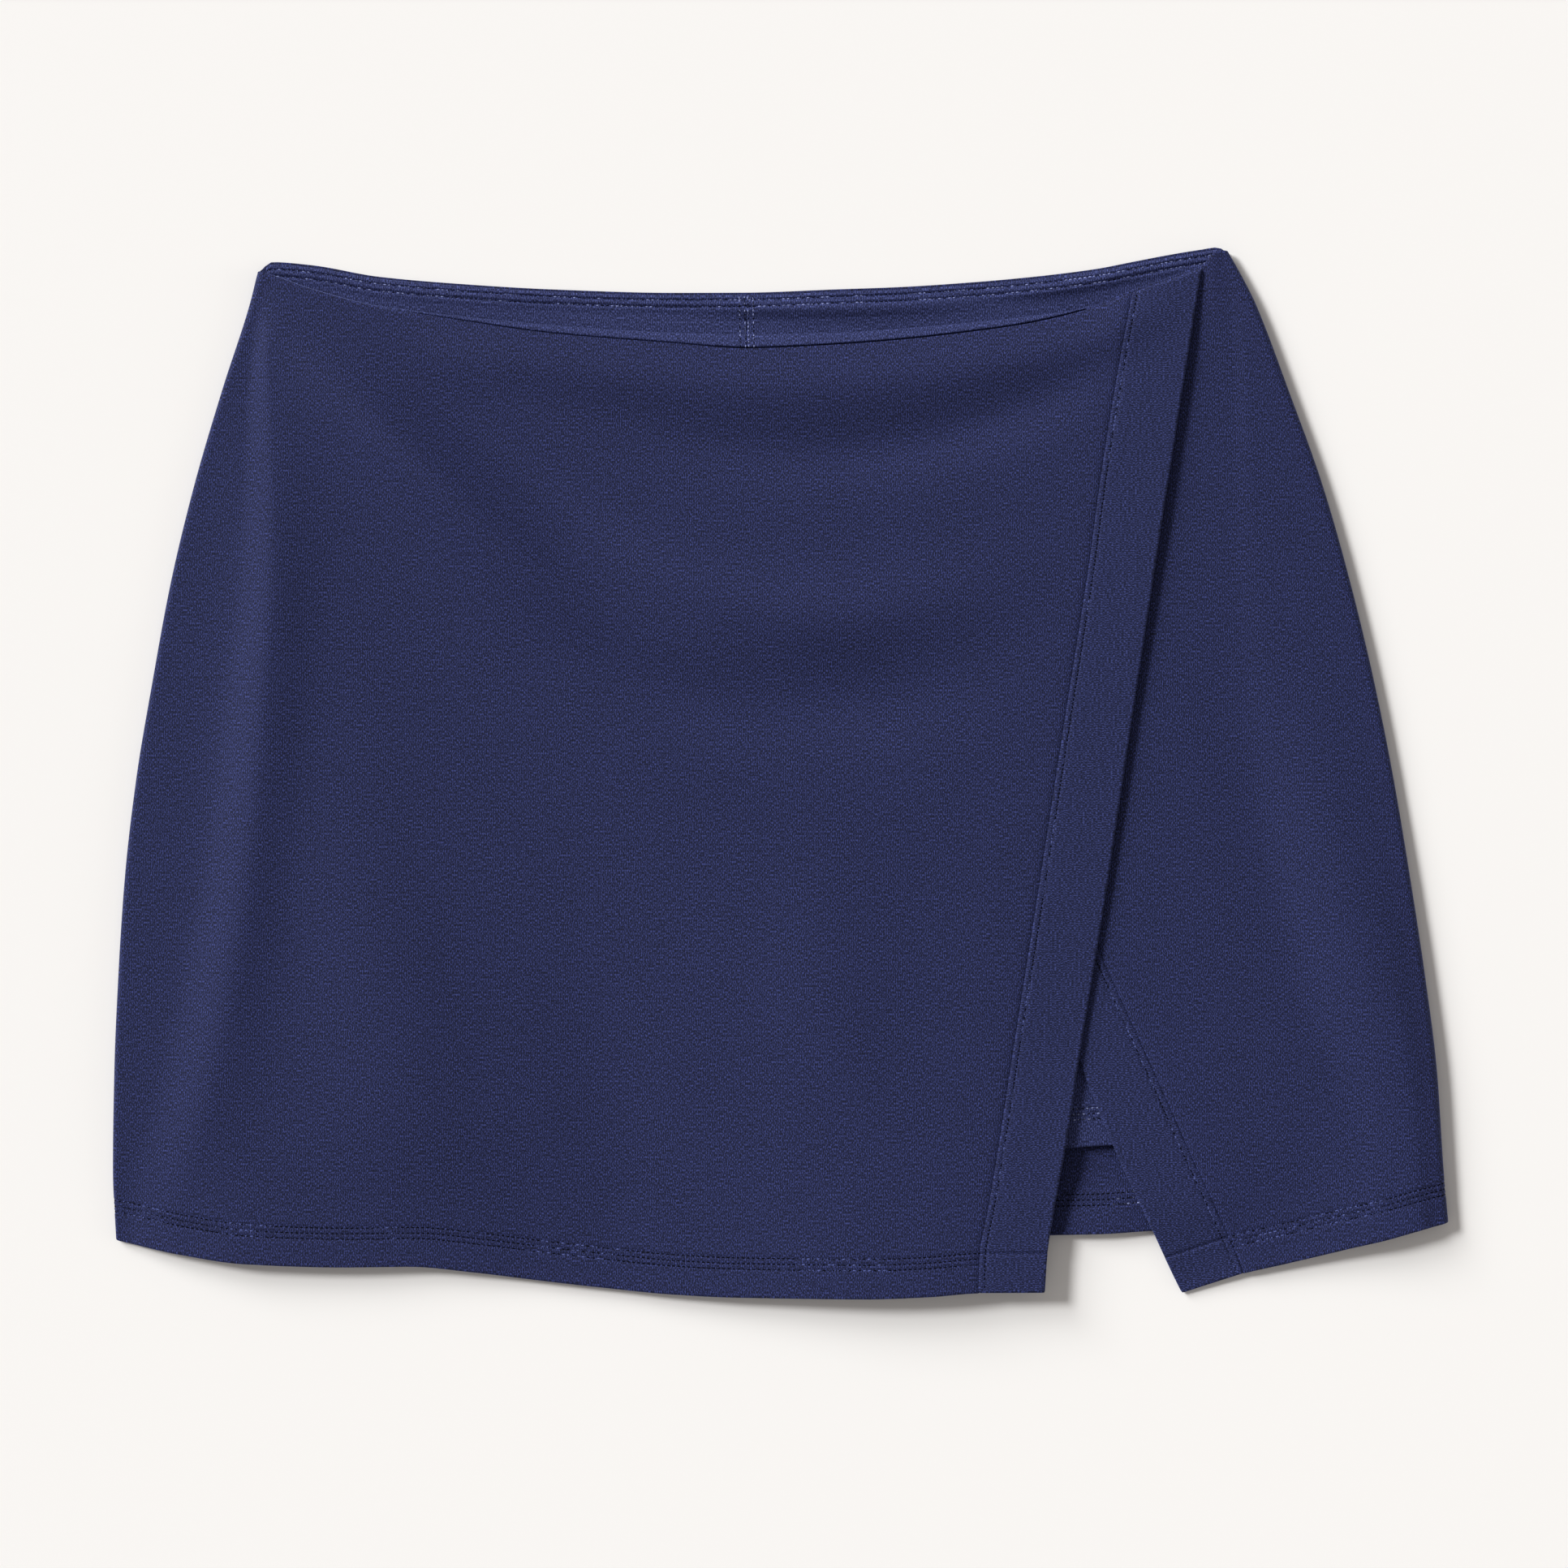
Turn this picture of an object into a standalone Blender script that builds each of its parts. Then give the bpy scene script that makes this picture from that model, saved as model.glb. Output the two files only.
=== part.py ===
"""Wrap skort of double-knit jersey, laid flat on a table with its front up.

A short skirt whose front wraps over itself, with shorts sewn in at the waist.
+X runs to the right over the front, which is the wearer's left, +Y towards the
waist and +Z up from the table. The origin lies on the table under the middle
of the garment. Lengths are in millimetres until a point goes into a mesh.

Every piece is one wall of cloth: an open sheet that follows the piece's outer
face, with a Solidify modifier that thickens it inwards. A sheet's plan comes
from its four edges, and its height from the layers that lie under it.
"""

import math

import bmesh
import bpy
import numpy as np

MM = 0.001

# Cloth
CLOTH_WALL = 1.0        # one layer of double knit
BAND_WALL = 1.6         # the wrap bands are the knit folded double and pressed
SEAM_GAP = 0.3          # between two pieces that are sewn or lie on each other
LAYER = CLOTH_WALL + SEAM_GAP
HALF_GAP = SEAM_GAP / 2

# Heights of the outer faces above the table, away from edges and folds
FRONT_LEVEL = 9.2       # over front, on the shorts alone
OVERLAP_RISE = 1.5      # more, where the under front lies below it
UNDER_LEVEL = 6.6
SHORTS_LEVEL = 4.1
SHORTS_SEAM_LEVEL = 3.6  # the shorts are flat at their side and inner leg seams

# How far a rise or fall takes to fade out
WAIST_REACH = 45.0
WRAP_REACH = 60.0
OVERLAP_REACH = 24.0
OVERLAP_SLOPE = 90.0
CORNER_REACH = 7.0
SHORTS_SEAM_REACH = 15.0
BACK_LIFT_REACH = 36.0
FOLD_REACH = 15.0

# Soft folds
FOLD_BELLS = 60         # round bells along a fold's line, closer than its width
WAIST_BULGE = 2.8       # the front stands up just below its waist seam
BULGE_BELOW = 15.0      # its crest's distance from that seam
BULGE_WIDTH = 9.0
BULGE_REACH = 60.0      # it starts this far from the left side, and fades in over as much

# The rounded fold at each side, where front meets back
FOLD_FLAT = 0.3         # half of the straight stretch at the seam
FOLD_STEPS = 4          # chords in its quarter round
SLOPE_OUTSIDE = 0.6     # share of the slope at the shorts' edge that lies outside it

WAIST_LIP = 1.3         # back shell standing past the shorts at the waist
STRIP_SINK = 1.3        # rolled strip of shorts at the front waist, below the shell's face
STRIP_START = 1.5       # it comes up from here past the shell's edge
STRIP_ROLL = 3.0        # and over this stretch
STRIP_ROWS = 2
STRIP_SHARE = 0.018     # share of the shorts' length that these rows take
CROTCH_Y = -79.0
BACK_HEM_ROWS = 4
BACK_HEM_START = 0.9    # share of the back's length above those rows


def table(names, *rows):
    """Short table as a dictionary with one array for each named column."""
    return dict(zip(names.split(), np.array(rows, float).T))


# Side folds from the waist down: place of the outline, height of the folded
# side, place of the shorts' edge inside, width of the front's slope over it.
LEFT_SIDE = table(
    "y edge fold shorts slope",
    (231.0, -241.0, 6.2, -237.2, 4.0),
    (216.0, -244.7, 5.9, -239.4, 7.0),
    (176.6, -257.4, 5.4, -239.2, 12.0),
    (131.6, -270.6, 5.3, -238.6, 16.0),
    (86.6, -281.4, 5.3, -239.4, 19.0),
    (41.6, -289.7, 5.4, -243.5, 22.0),
    (-3.4, -297.2, 5.5, -247.5, 25.0),
    (-48.4, -302.4, 5.6, -252.0, 27.0),
    (-93.4, -305.4, 5.6, -260.0, 29.0),
    (-138.4, -307.3, 5.5, -270.0, 30.0),
    (-183.4, -308.0, 4.7, -281.0, 30.0),
    (-216.0, -306.6, 3.2, -288.0, 28.0),
)
RIGHT_SIDE = table(
    "y edge fold shorts slope",
    (240.0, 206.5, 6.2, 201.8, 4.0),
    (227.3, 213.6, 6.7, 207.6, 5.0),
    (216.0, 219.2, 7.0, 210.8, 6.0),
    (176.6, 234.2, 7.2, 211.5, 8.0),
    (131.6, 250.3, 7.2, 212.0, 10.0),
    (86.6, 263.1, 7.1, 213.5, 12.0),
    (41.6, 273.9, 7.0, 217.0, 14.0),
    (-3.4, 282.9, 6.9, 222.5, 17.0),
    (-48.4, 290.4, 7.0, 231.0, 20.0),
    (-93.4, 297.2, 7.2, 243.0, 23.0),
    (-138.4, 302.8, 7.4, 261.0, 25.0),
    (-183.4, 305.8, 7.2, 282.0, 26.0),
    (-207.6, 308.0, 6.4, 293.0, 26.0),
)

# Waist from side to side: edge of the back, edge of the rolled strip of shorts
# in front, edge of the front shell, and height of that edge's outer face.
WAIST = table(
    "x back strip shell height",
    (-241.0, 231.0, 230.6, 231.0, 6.2),
    (-234.5, 235.5, 229.1, 229.5, 6.4),
    (-216.0, 234.0, 222.7, 223.1, 6.8),
    (-186.0, 228.8, 215.0, 215.0, 7.3),
    (-150.6, 225.6, 210.4, 208.7, 7.7),
    (-105.6, 222.9, 206.0, 202.2, 8.0),
    (-49.3, 221.3, 202.5, 197.6, 8.2),
    (-15.6, 221.4, 201.8, 195.2, 8.3),
    (25.7, 222.9, 202.5, 196.9, 8.4),
    (54.0, 223.9, 204.3, 199.0, 8.5),
    (84.0, 225.8, 206.8, 202.3, 8.5),
    (114.0, 228.4, 209.9, 206.6, 8.5),
    (145.7, 232.3, 214.9, 214.5, 8.4),
    (161.8, 235.4, 220.4, 221.3, 8.8),
    (175.7, 238.1, 224.8, 226.1, 8.8),
    (187.0, 240.1, 228.4, 230.3, 8.6),
    (194.1, 241.2, 230.4, 232.7, 8.5),
    (202.0, 242.3, 232.8, 240.0, 6.9),
    (206.5, 240.0, 234.0, 240.0, 6.2),
)

# Wrap edges from the waist down: seam between front and band, free edge of the
# band, and height of the over band's outer face along its free edge.
OVER_WRAP = table(
    "y seam free height",
    (232.7, 164.0, 194.1, 8.5),
    (221.3, 161.8, 192.2, 9.2),
    (181.4, 154.5, 185.8, 11.2),
    (136.1, 147.2, 178.7, 11.3),
    (94.1, 141.5, 172.3, 11.0),
    (20.0, 130.0, 161.1, 10.5),
    (-55.9, 118.3, 149.8, 10.0),
    (-130.5, 106.6, 137.8, 9.1),
    (-173.3, 100.0, 131.1, 9.2),
    (-202.1, 95.1, 125.8, 10.4),
    (-222.4, 91.3, 122.8, 10.9),
    (-239.6, 90.8, 121.7, 11.6),
)
UNDER_WRAP = table(
    "y seam free",
    (196.7, 19.8, -14.5),
    (195.2, 20.5, -13.8),
    (-80.6, 146.1, 113.5),
    (-130.5, 168.9, 136.4),
    (-155.3, 180.0, 146.6),
    (-175.1, 188.8, 154.6),
    (-205.9, 203.1, 169.0),
    (-231.2, 213.9, 180.7),
    (-240.6, 216.5, 185.4),
)

# Hems from side to side: edge, height of the outer face there, and how far up
# the panel that height reaches.
OVER_HEM = table(
    "x y height reach",
    (-306.6, -216.0, 3.2, 60.0),
    (-276.2, -222.4, 6.7, 70.0),
    (-246.2, -226.5, 9.6, 75.0),
    (-201.2, -228.0, 9.0, 80.0),
    (-171.2, -227.8, 7.8, 80.0),
    (-141.2, -230.6, 6.2, 80.0),
    (-111.2, -234.4, 4.8, 85.0),
    (-81.2, -237.8, 4.9, 95.0),
    (-51.2, -240.6, 6.6, 115.0),
    (-21.2, -241.9, 8.8, 160.0),
    (39.0, -242.3, 13.0, 160.0),
    (69.0, -241.2, 13.4, 150.0),
    (90.8, -239.6, 12.8, 140.0),
    (121.7, -239.6, 11.6, 130.0),
)
UNDER_HEM = table(
    "x y height reach",
    (185.4, -240.6, 2.4, 45.0),
    (203.8, -234.4, 3.4, 45.0),
    (213.9, -231.2, 4.4, 50.0),
    (233.8, -226.5, 5.6, 65.0),
    (248.8, -222.8, 7.0, 80.0),
    (263.8, -219.0, 8.8, 90.0),
    (278.8, -215.4, 10.4, 90.0),
    (293.8, -211.1, 10.2, 80.0),
    (308.0, -207.6, 6.4, 60.0),
)
BACK_HEM = table(
    "x y lift",
    (-306.6, -216.0, 0.0),
    (-240.0, -219.0, 0.0),
    (-120.0, -220.0, 0.0),
    (60.0, -217.4, 0.0),
    (124.0, -213.6, 3.4),
    (148.0, -213.0, 4.0),
    (171.6, -211.6, 2.4),
    (205.0, -210.2, 0.0),
    (308.0, -207.6, 0.0),
)

# Shorts: centre seam down to the crotch, then the two inner legs.
INNER_LEGS = table(
    "y left right",
    (242.0, -16.4, -16.4),
    (-60.0, -8.5, -8.5),
    (CROTCH_Y, -8.0, -8.0),
    (-120.0, -3.6, -13.0),
    (-180.0, 4.0, -20.0),
)
LEG_HEM = table(
    "x y",
    (-290.0, -168.0),
    (-20.0, -176.0),
    (4.0, -176.0),
    (131.0, -173.3),
    (153.2, -172.2),
    (290.0, -167.0),
)

# Soft folds of a front, ridges and troughs: each runs from a start past a bend
# to an end, and the width is that of its bell in section.
OVER_FOLDS = table(
    "start_x start_y bend_x bend_y end_x end_y height width",
    (-230.0, 196.0, -80.0, 50.0, 80.0, -50.0, 3.0, 20.0),
    (-234.0, 214.0, -206.0, 140.0, -132.0, 76.0, 3.4, 9.0),
    (-206.0, 214.0, -172.0, 150.0, -92.0, 92.0, -3.0, 10.0),
    (-174.0, 112.0, -110.0, 54.0, -4.0, 62.0, 2.2, 11.0),
    (-214.0, 120.0, -120.0, -30.0, 10.0, -100.0, -3.0, 20.0),
    (-104.0, 172.0, 50.0, 108.0, 176.0, 208.0, -3.1, 11.0),
    (-60.0, 92.0, 40.0, 62.0, 136.0, 92.0, 3.0, 14.0),
    (-110.0, 50.0, 20.0, -6.0, 110.0, 34.0, -4.4, 17.0),
    (-228.0, 150.0, -226.0, 20.0, -262.0, -150.0, 1.2, 15.0),
    (-230.0, 30.0, -166.0, -90.0, -170.0, -226.0, 3.6, 24.0),
    (-110.0, -60.0, -60.0, -150.0, -72.0, -240.0, -3.0, 22.0),
    (10.0, -20.0, 30.0, -110.0, 24.0, -180.0, 1.6, 20.0),
)
UNDER_FOLDS = table(
    "start_x start_y bend_x bend_y end_x end_y height width",
    (224.0, 40.0, 244.0, -80.0, 296.0, -190.0, 2.1, 12.0),
    (188.0, 90.0, 206.0, -10.0, 244.0, -130.0, -1.1, 13.0),
)


def ease(share):
    """Soft step from 0 to 1, level at both ends."""
    share = np.clip(share, 0.0, 1.0)
    return share * share * (3.0 - 2.0 * share)


def fade(level, target, share):
    """Height that is the target at share 0 and back at the level from share 1."""
    return level + (target - level) * ease(1.0 - share)


def curve(at, stations, values):
    """Smooth curve through a table's rows that never swings past them.

    Each stretch is a cubic. Its slope at a row is the harmonic mean of the
    slopes of the chords on both sides, or level where those differ in sign.
    """
    order = np.argsort(stations)
    xs = stations[order]
    ys = values[order]
    chords = np.diff(ys) / np.diff(xs)
    before = chords[:-1]
    after = chords[1:]
    same = before * after > 0.0
    total = np.where(same, before + after, 1.0)
    inner = np.where(same, 2.0 * before * after / total, 0.0)
    slopes = np.concatenate((chords[:1], inner, chords[-1:]))
    k = np.clip(np.searchsorted(xs, at) - 1, 0, len(xs) - 2)
    width = xs[k + 1] - xs[k]
    t = np.clip((at - xs[k]) / width, 0.0, 1.0)
    rising = t * t * (3.0 - 2.0 * t)
    return (
        ys[k] * (1.0 - rising)
        + ys[k + 1] * rising
        + width * t * (1.0 - t) * (slopes[k] * (1.0 - t) - slopes[k + 1] * t)
    )


def column(rows, name, at, key="y"):
    """One column of a table, read where its key column has the given value."""
    return curve(at, rows[key], rows[name])


# Plan of a panel -----------------------------------------------------------


def side_edge(rows, name, top, bottom, shift=0.0):
    """Edge that runs down a panel, from share 0 at the top to 1 at the bottom."""

    def place(share):
        y = top + (bottom - top) * share
        return np.array((column(rows, name, y) + shift, y))

    return place


def cross_edge(rows, name, start, end, shift=0.0):
    """Edge that runs across a panel, from share 0 at its start to 1 at its end."""

    def place(share):
        x = start + (end - start) * share
        return np.array((x, column(rows, name, x, "x") + shift))

    return place


def straight_edge(start, end):
    """Straight edge between two points in plan."""
    first = np.array(start)[:, None]
    last = np.array(end)[:, None]

    def place(share):
        return first + (last - first) * share

    return place


def flip(edge):
    """The same edge, run the other way."""
    return lambda share: edge(1.0 - share)


def patch(across, down, left, right, top, bottom):
    """Coons patch: the sides blended across, plus the ends blended down,
    less the flat patch through the four corners."""
    first = np.zeros(1)
    last = np.ones(1)
    sides = (1.0 - across) * left(down) + across * right(down)
    ends = (1.0 - down) * top(across) + down * bottom(across)
    corners = (1.0 - down) * ((1.0 - across) * left(first) + across * right(first))
    corners += down * ((1.0 - across) * left(last) + across * right(last))
    return sides + ends - corners


def spread(index, *stops):
    """Distance of a grid line, straight between stops of (line, distance)."""
    distance = 0.0 * index + stops[0][1]
    for (line, start), (next_line, end) in zip(stops, stops[1:]):
        distance = distance + (end - start) * np.clip((index - line) / (next_line - line), 0.0, 1.0)
    return distance


def side_fold(index, fold):
    """Rounded fold at a side: distance in from the outline, and height above
    its middle, of grid line index. Lines 0 and 1 stand up straight beside the
    seam and the next ones follow a quarter round."""
    arc = fold / 2 - FOLD_FLAT
    turn = 0.5 * math.pi * np.clip((index - 1.0) / FOLD_STEPS, 0.0, 1.0)
    inward = arc * (1.0 - np.cos(turn))
    rise = np.where(index < 1.0, HALF_GAP, FOLD_FLAT + arc * np.sin(turn))
    return inward, rise


def side_lines(index, last, rows, y, width):
    """Grid lines from the outline inwards: the fold, two lines on the flank,
    three on the slope over the shorts' edge, and the rest evenly spaced."""
    fold = column(rows, "fold", y)
    slope = column(rows, "slope", y)
    flank = np.abs(column(rows, "shorts", y) - column(rows, "edge", y)) - SLOPE_OUTSIDE * slope
    inward, rise = side_fold(index, fold)
    arc = fold / 2 - FOLD_FLAT
    flank = np.maximum(flank, arc + 1.0)
    folded = FOLD_STEPS + 1
    rest = spread(
        index, (folded, 0.0), (folded + 2, flank - arc), (folded + 5, flank - arc + slope), (last, width - arc)
    )
    return inward + rest, rise, fold


# Heights -------------------------------------------------------------------


def over_slope(level, x, y, rows, inwards):
    """Level of a front that comes down from the shorts' edge to the flank."""
    fold = column(rows, "fold", y)
    slope = column(rows, "slope", y)
    inside = inwards * (x - column(rows, "shorts", y))
    return fade(fold, level, 1.0 - (inside / slope + SLOPE_OUTSIDE))


def soft_folds(x, y, rows):
    """Sum of long soft folds. Each is a bell carried along a bent line: the sum
    of round bells at even shares of the line, faded towards its ends."""
    total = 0.0 * x
    share = (np.arange(FOLD_BELLS) + 0.5) / FOLD_BELLS
    strength = np.sin(math.pi * share)[:, None]
    near, middle, far = (1.0 - share) ** 2, 2.0 * share * (1.0 - share), share**2
    for i in range(len(rows["height"])):
        route_x = near * rows["start_x"][i] + middle * rows["bend_x"][i] + far * rows["end_x"][i]
        route_y = near * rows["start_y"][i] + middle * rows["bend_y"][i] + far * rows["end_y"][i]
        step = np.hypot(np.gradient(route_x), np.gradient(route_y))[:, None]
        away = np.hypot(x - route_x[:, None], y - route_y[:, None])
        width = rows["width"][i]
        bells = np.exp(-0.5 * (away / width) ** 2) * step / (width * math.sqrt(2.0 * math.pi))
        total = total + rows["height"][i] * (strength * bells).sum(axis=0)
    return total


def hem_fall(level, x, y, rows):
    """Level of a panel that goes over to its hem's own height."""
    above = y - column(rows, "y", x, "x")
    return fade(level, column(rows, "height", x, "x"), above / column(rows, "reach", x, "x"))


def over_height(x, y):
    """Outer face of the over front and its band."""
    beside = (x - column(UNDER_WRAP, "free", y)) / OVERLAP_SLOPE
    level = FRONT_LEVEL + OVERLAP_RISE * ease(beside + 1.0)
    level = over_slope(level, x, y, LEFT_SIDE, 1.0)
    level = level + soft_folds(x, y, OVER_FOLDS)
    below = (column(WAIST, "shell", x, "x") - y) / WAIST_REACH
    level = fade(level, column(WAIST, "height", x, "x"), below)
    inside = (column(OVER_WRAP, "free", y) - x) / WRAP_REACH
    level = fade(level, column(OVER_WRAP, "height", y), inside)
    level = hem_fall(level, x, y, OVER_HEM)
    return level + waist_bulge(x, y)


def waist_bulge(x, y):
    """Rounded ridge of a front just below its waist seam, gone at the sides."""
    below = column(WAIST, "shell", x, "x") - y
    bell = np.exp(-0.5 * ((below - BULGE_BELOW) / BULGE_WIDTH) ** 2)
    inside = ease((x - LEFT_SIDE["edge"][0]) / BULGE_REACH - 1.0) * ease((OVER_WRAP["free"][0] - x) / WAIST_REACH)
    return WAIST_BULGE * bell * inside


def under_waist(x):
    """Outer face of the under front at the waist: below the over front and its
    thicker band, and up at the fold past the band's corner."""
    over_corner = OVER_WRAP["free"][0]
    covered = 1.0 - ease((x - over_corner) / CORNER_REACH)
    below_band = ease((x - OVER_WRAP["seam"][0]) / CORNER_REACH + 1.5)
    layer = LAYER + (BAND_WALL - CLOTH_WALL) * below_band
    return column(WAIST, "height", x, "x") - layer * covered


def under_height(x, y):
    """Outer face of the under front and its band."""
    level = over_slope(UNDER_LEVEL, x, y, RIGHT_SIDE, -1.0)
    level = level + soft_folds(x, y, UNDER_FOLDS)
    below = (column(WAIST, "shell", x, "x") - y) / WAIST_REACH
    level = fade(level, under_waist(x), below)
    return hem_fall(level, x, y, UNDER_HEM)


def shorts_height(x, y):
    """Outer face of the front of the shorts."""
    from_side = np.minimum(
        x - column(LEFT_SIDE, "shorts", y),
        column(RIGHT_SIDE, "shorts", y) - x,
    )
    level = fade(SHORTS_LEVEL, SHORTS_SEAM_LEVEL, from_side / SHORTS_SEAM_REACH)
    from_leg = np.where(
        x > column(INNER_LEGS, "left", CROTCH_Y),
        x - column(INNER_LEGS, "left", y),
        column(INNER_LEGS, "right", y) - x,
    )
    from_leg = from_leg + np.maximum(y - CROTCH_Y, 0.0)
    level = fade(level, SHORTS_SEAM_LEVEL, from_leg / SHORTS_SEAM_REACH)
    face = column(WAIST, "height", x, "x")
    beside = (x - UNDER_WRAP["free"][0]) / OVERLAP_REACH
    below_band = under_waist(x) - BAND_WALL - SEAM_GAP
    waist = fade(below_band, face - LAYER, beside + 1.0)
    shell = column(WAIST, "shell", x, "x")
    level = fade(level, waist, (shell - y) / WAIST_REACH)
    return fade(level, face - STRIP_SINK, 1.0 - (y - shell - STRIP_START) / STRIP_ROLL)


def back_lift(x, y):
    """Outer face of the back, which leaves the table at the hem by the slit."""
    above = (y - column(BACK_HEM, "y", x, "x")) / BACK_LIFT_REACH
    return fade(0.0, column(BACK_HEM, "lift", x, "x"), above)


# Pieces --------------------------------------------------------------------


def over_front(index, row, last, rows):
    """Over front: from the left fold to the seam of its band."""
    down = row / rows
    left = side_edge(LEFT_SIDE, "edge", LEFT_SIDE["y"][0], LEFT_SIDE["y"][-1])
    right = side_edge(OVER_WRAP, "seam", OVER_WRAP["y"][1], OVER_WRAP["y"][-1], -HALF_GAP)
    top = cross_edge(WAIST, "shell", LEFT_SIDE["edge"][0], OVER_WRAP["seam"][1] - HALF_GAP)
    bottom = cross_edge(OVER_HEM, "y", LEFT_SIDE["edge"][-1], OVER_WRAP["seam"][-1] - HALF_GAP)
    start = left(down)
    width = np.hypot(*(right(down) - start))
    inward, rise, fold = side_lines(index, last, LEFT_SIDE, start[1], width)
    x, y = patch(inward / width, down, left, right, top, bottom)
    height = fold / 2 + rise + (over_height(x, y) - fold) * ease(inward / FOLD_REACH)
    return x, y, height


def under_front(index, row, last, rows):
    """Under front: from the seam of its band to the right fold."""
    down = row / rows
    left = side_edge(UNDER_WRAP, "seam", UNDER_WRAP["y"][0], UNDER_HEM["y"][2], HALF_GAP)
    right = side_edge(RIGHT_SIDE, "edge", RIGHT_SIDE["y"][0], RIGHT_SIDE["y"][-1])
    top = cross_edge(WAIST, "shell", UNDER_WRAP["seam"][0] + HALF_GAP, RIGHT_SIDE["edge"][0])
    bottom = cross_edge(UNDER_HEM, "y", UNDER_HEM["x"][2] + HALF_GAP, RIGHT_SIDE["edge"][-1])
    end = right(down)
    width = np.hypot(*(end - left(down)))
    inward, rise, fold = side_lines(last - index, last, RIGHT_SIDE, end[1], width)
    x, y = patch(1.0 - inward / width, down, left, right, top, bottom)
    height = fold / 2 + rise + (under_height(x, y) - fold) * ease(inward / FOLD_REACH)
    return x, y, height


def over_band(index, row, last, rows):
    """Band along the over front's wrap edge."""
    left = side_edge(OVER_WRAP, "seam", OVER_WRAP["y"][1], OVER_WRAP["y"][-1], HALF_GAP)
    right = side_edge(OVER_WRAP, "free", OVER_WRAP["y"][0], OVER_WRAP["y"][-1])
    first = np.zeros(1)
    top = straight_edge(left(first)[:, 0], right(first)[:, 0])
    bottom = straight_edge(left(first + 1.0)[:, 0], right(first + 1.0)[:, 0])
    x, y = patch(index / last, row / rows, left, right, top, bottom)
    return x, y, over_height(x, y)


def under_band(index, row, last, rows):
    """Band along the under front's wrap edge."""
    left = side_edge(UNDER_WRAP, "free", UNDER_WRAP["y"][1], UNDER_WRAP["y"][-1])
    right = side_edge(UNDER_WRAP, "seam", UNDER_WRAP["y"][0], UNDER_HEM["y"][2], -HALF_GAP)
    first = np.zeros(1)
    top = straight_edge(left(first)[:, 0], right(first)[:, 0])
    bottom = straight_edge(left(first + 1.0)[:, 0], right(first + 1.0)[:, 0])
    x, y = patch(index / last, row / rows, left, right, top, bottom)
    return x, y, under_height(x, y)


def skirt_back(index, row, last, rows):
    """Back of the skirt: from fold to fold, flat on the table. Its last rows
    lie close together, below the shorts' legs, where the hem lifts."""
    down = spread(row, (0, 0.0), (rows - BACK_HEM_ROWS, BACK_HEM_START), (rows, 1.0))
    left = side_edge(LEFT_SIDE, "edge", LEFT_SIDE["y"][0], LEFT_SIDE["y"][-1])
    right = side_edge(RIGHT_SIDE, "edge", RIGHT_SIDE["y"][0], RIGHT_SIDE["y"][-1])
    top = cross_edge(WAIST, "back", LEFT_SIDE["edge"][0], RIGHT_SIDE["edge"][0])
    bottom = cross_edge(BACK_HEM, "y", LEFT_SIDE["edge"][-1], RIGHT_SIDE["edge"][-1])
    start = left(down)
    end = right(down)
    width = np.hypot(*(end - start))
    fold_left = column(LEFT_SIDE, "fold", start[1])
    fold_right = column(RIGHT_SIDE, "fold", end[1])
    from_left, rise_left = side_fold(index, fold_left)
    from_right, rise_right = side_fold(last - index, fold_right)
    middle = width - (fold_left + fold_right) / 2 + 2.0 * FOLD_FLAT
    folded = FOLD_STEPS + 1
    evenly = spread(index, (folded, 0.0), (last - folded, middle))
    arc_right = fold_right / 2 - FOLD_FLAT
    inward = from_left + evenly + arc_right - from_right
    x, y = patch(inward / width, down, left, right, top, bottom)
    height = fold_left / 2 - rise_left + fold_right / 2 - rise_right
    return x, y, height + back_lift(x, y)


def shorts_panel(index, row, last, rows, wearers_left, front):
    """One quarter of the shorts: from the centre seam and inner leg to the side."""
    down = spread(row, (0, 0.0), (STRIP_ROWS, STRIP_SHARE), (rows, 1.0))
    waist = "strip" if front else "back"
    drop = 0.0 if front else -WAIST_LIP
    side = RIGHT_SIDE if wearers_left else LEFT_SIDE
    inner = "left" if wearers_left else "right"
    gap = HALF_GAP if wearers_left else -HALF_GAP
    seam_x = INNER_LEGS[inner][0] + gap
    side_x = side["shorts"][0]
    seam_top = column(WAIST, waist, seam_x, "x") + drop
    side_top = column(WAIST, waist, side_x, "x") + drop
    leg = side_edge(INNER_LEGS, inner, seam_top, LEG_HEM["y"][1], gap)
    outer = side_edge(side, "shorts", side_top, column(LEG_HEM, "y", side["shorts"][-2], "x"))
    hem_start = leg(np.ones(1))[0, 0]
    hem_end = outer(np.ones(1))[0, 0]
    seam_start = leg(np.zeros(1))[0, 0]
    waist_end = outer(np.zeros(1))[0, 0]
    top = cross_edge(WAIST, waist, seam_start, waist_end, drop)
    bottom = cross_edge(LEG_HEM, "y", hem_start, hem_end)
    edge_line = spread(index, (0, 0.0), (1, 0.05), (last - 1, 0.95), (last, 1.0))
    if wearers_left:
        x, y = patch(edge_line, down, leg, outer, top, bottom)
    else:
        x, y = patch(edge_line, down, outer, leg, bottom=flip(bottom), top=flip(top))
    if not front:
        return x, y, LAYER + back_lift(x, y)
    return x, y, shorts_height(x, y)


def knit(name, red, green, blue):
    """Matt knit in one colour, given as sRGB values from 0 to 255."""
    material = bpy.data.materials.new(name)
    material.use_nodes = True
    shader = material.node_tree.nodes["Principled BSDF"]
    linear = [((value / 255 + 0.055) / 1.055) ** 2.4 for value in (red, green, blue)]
    shader.inputs["Base Color"].default_value = (*linear, 1.0)
    shader.inputs["Roughness"].default_value = 0.85
    shader.inputs["Metallic"].default_value = 0.0
    return material


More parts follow.
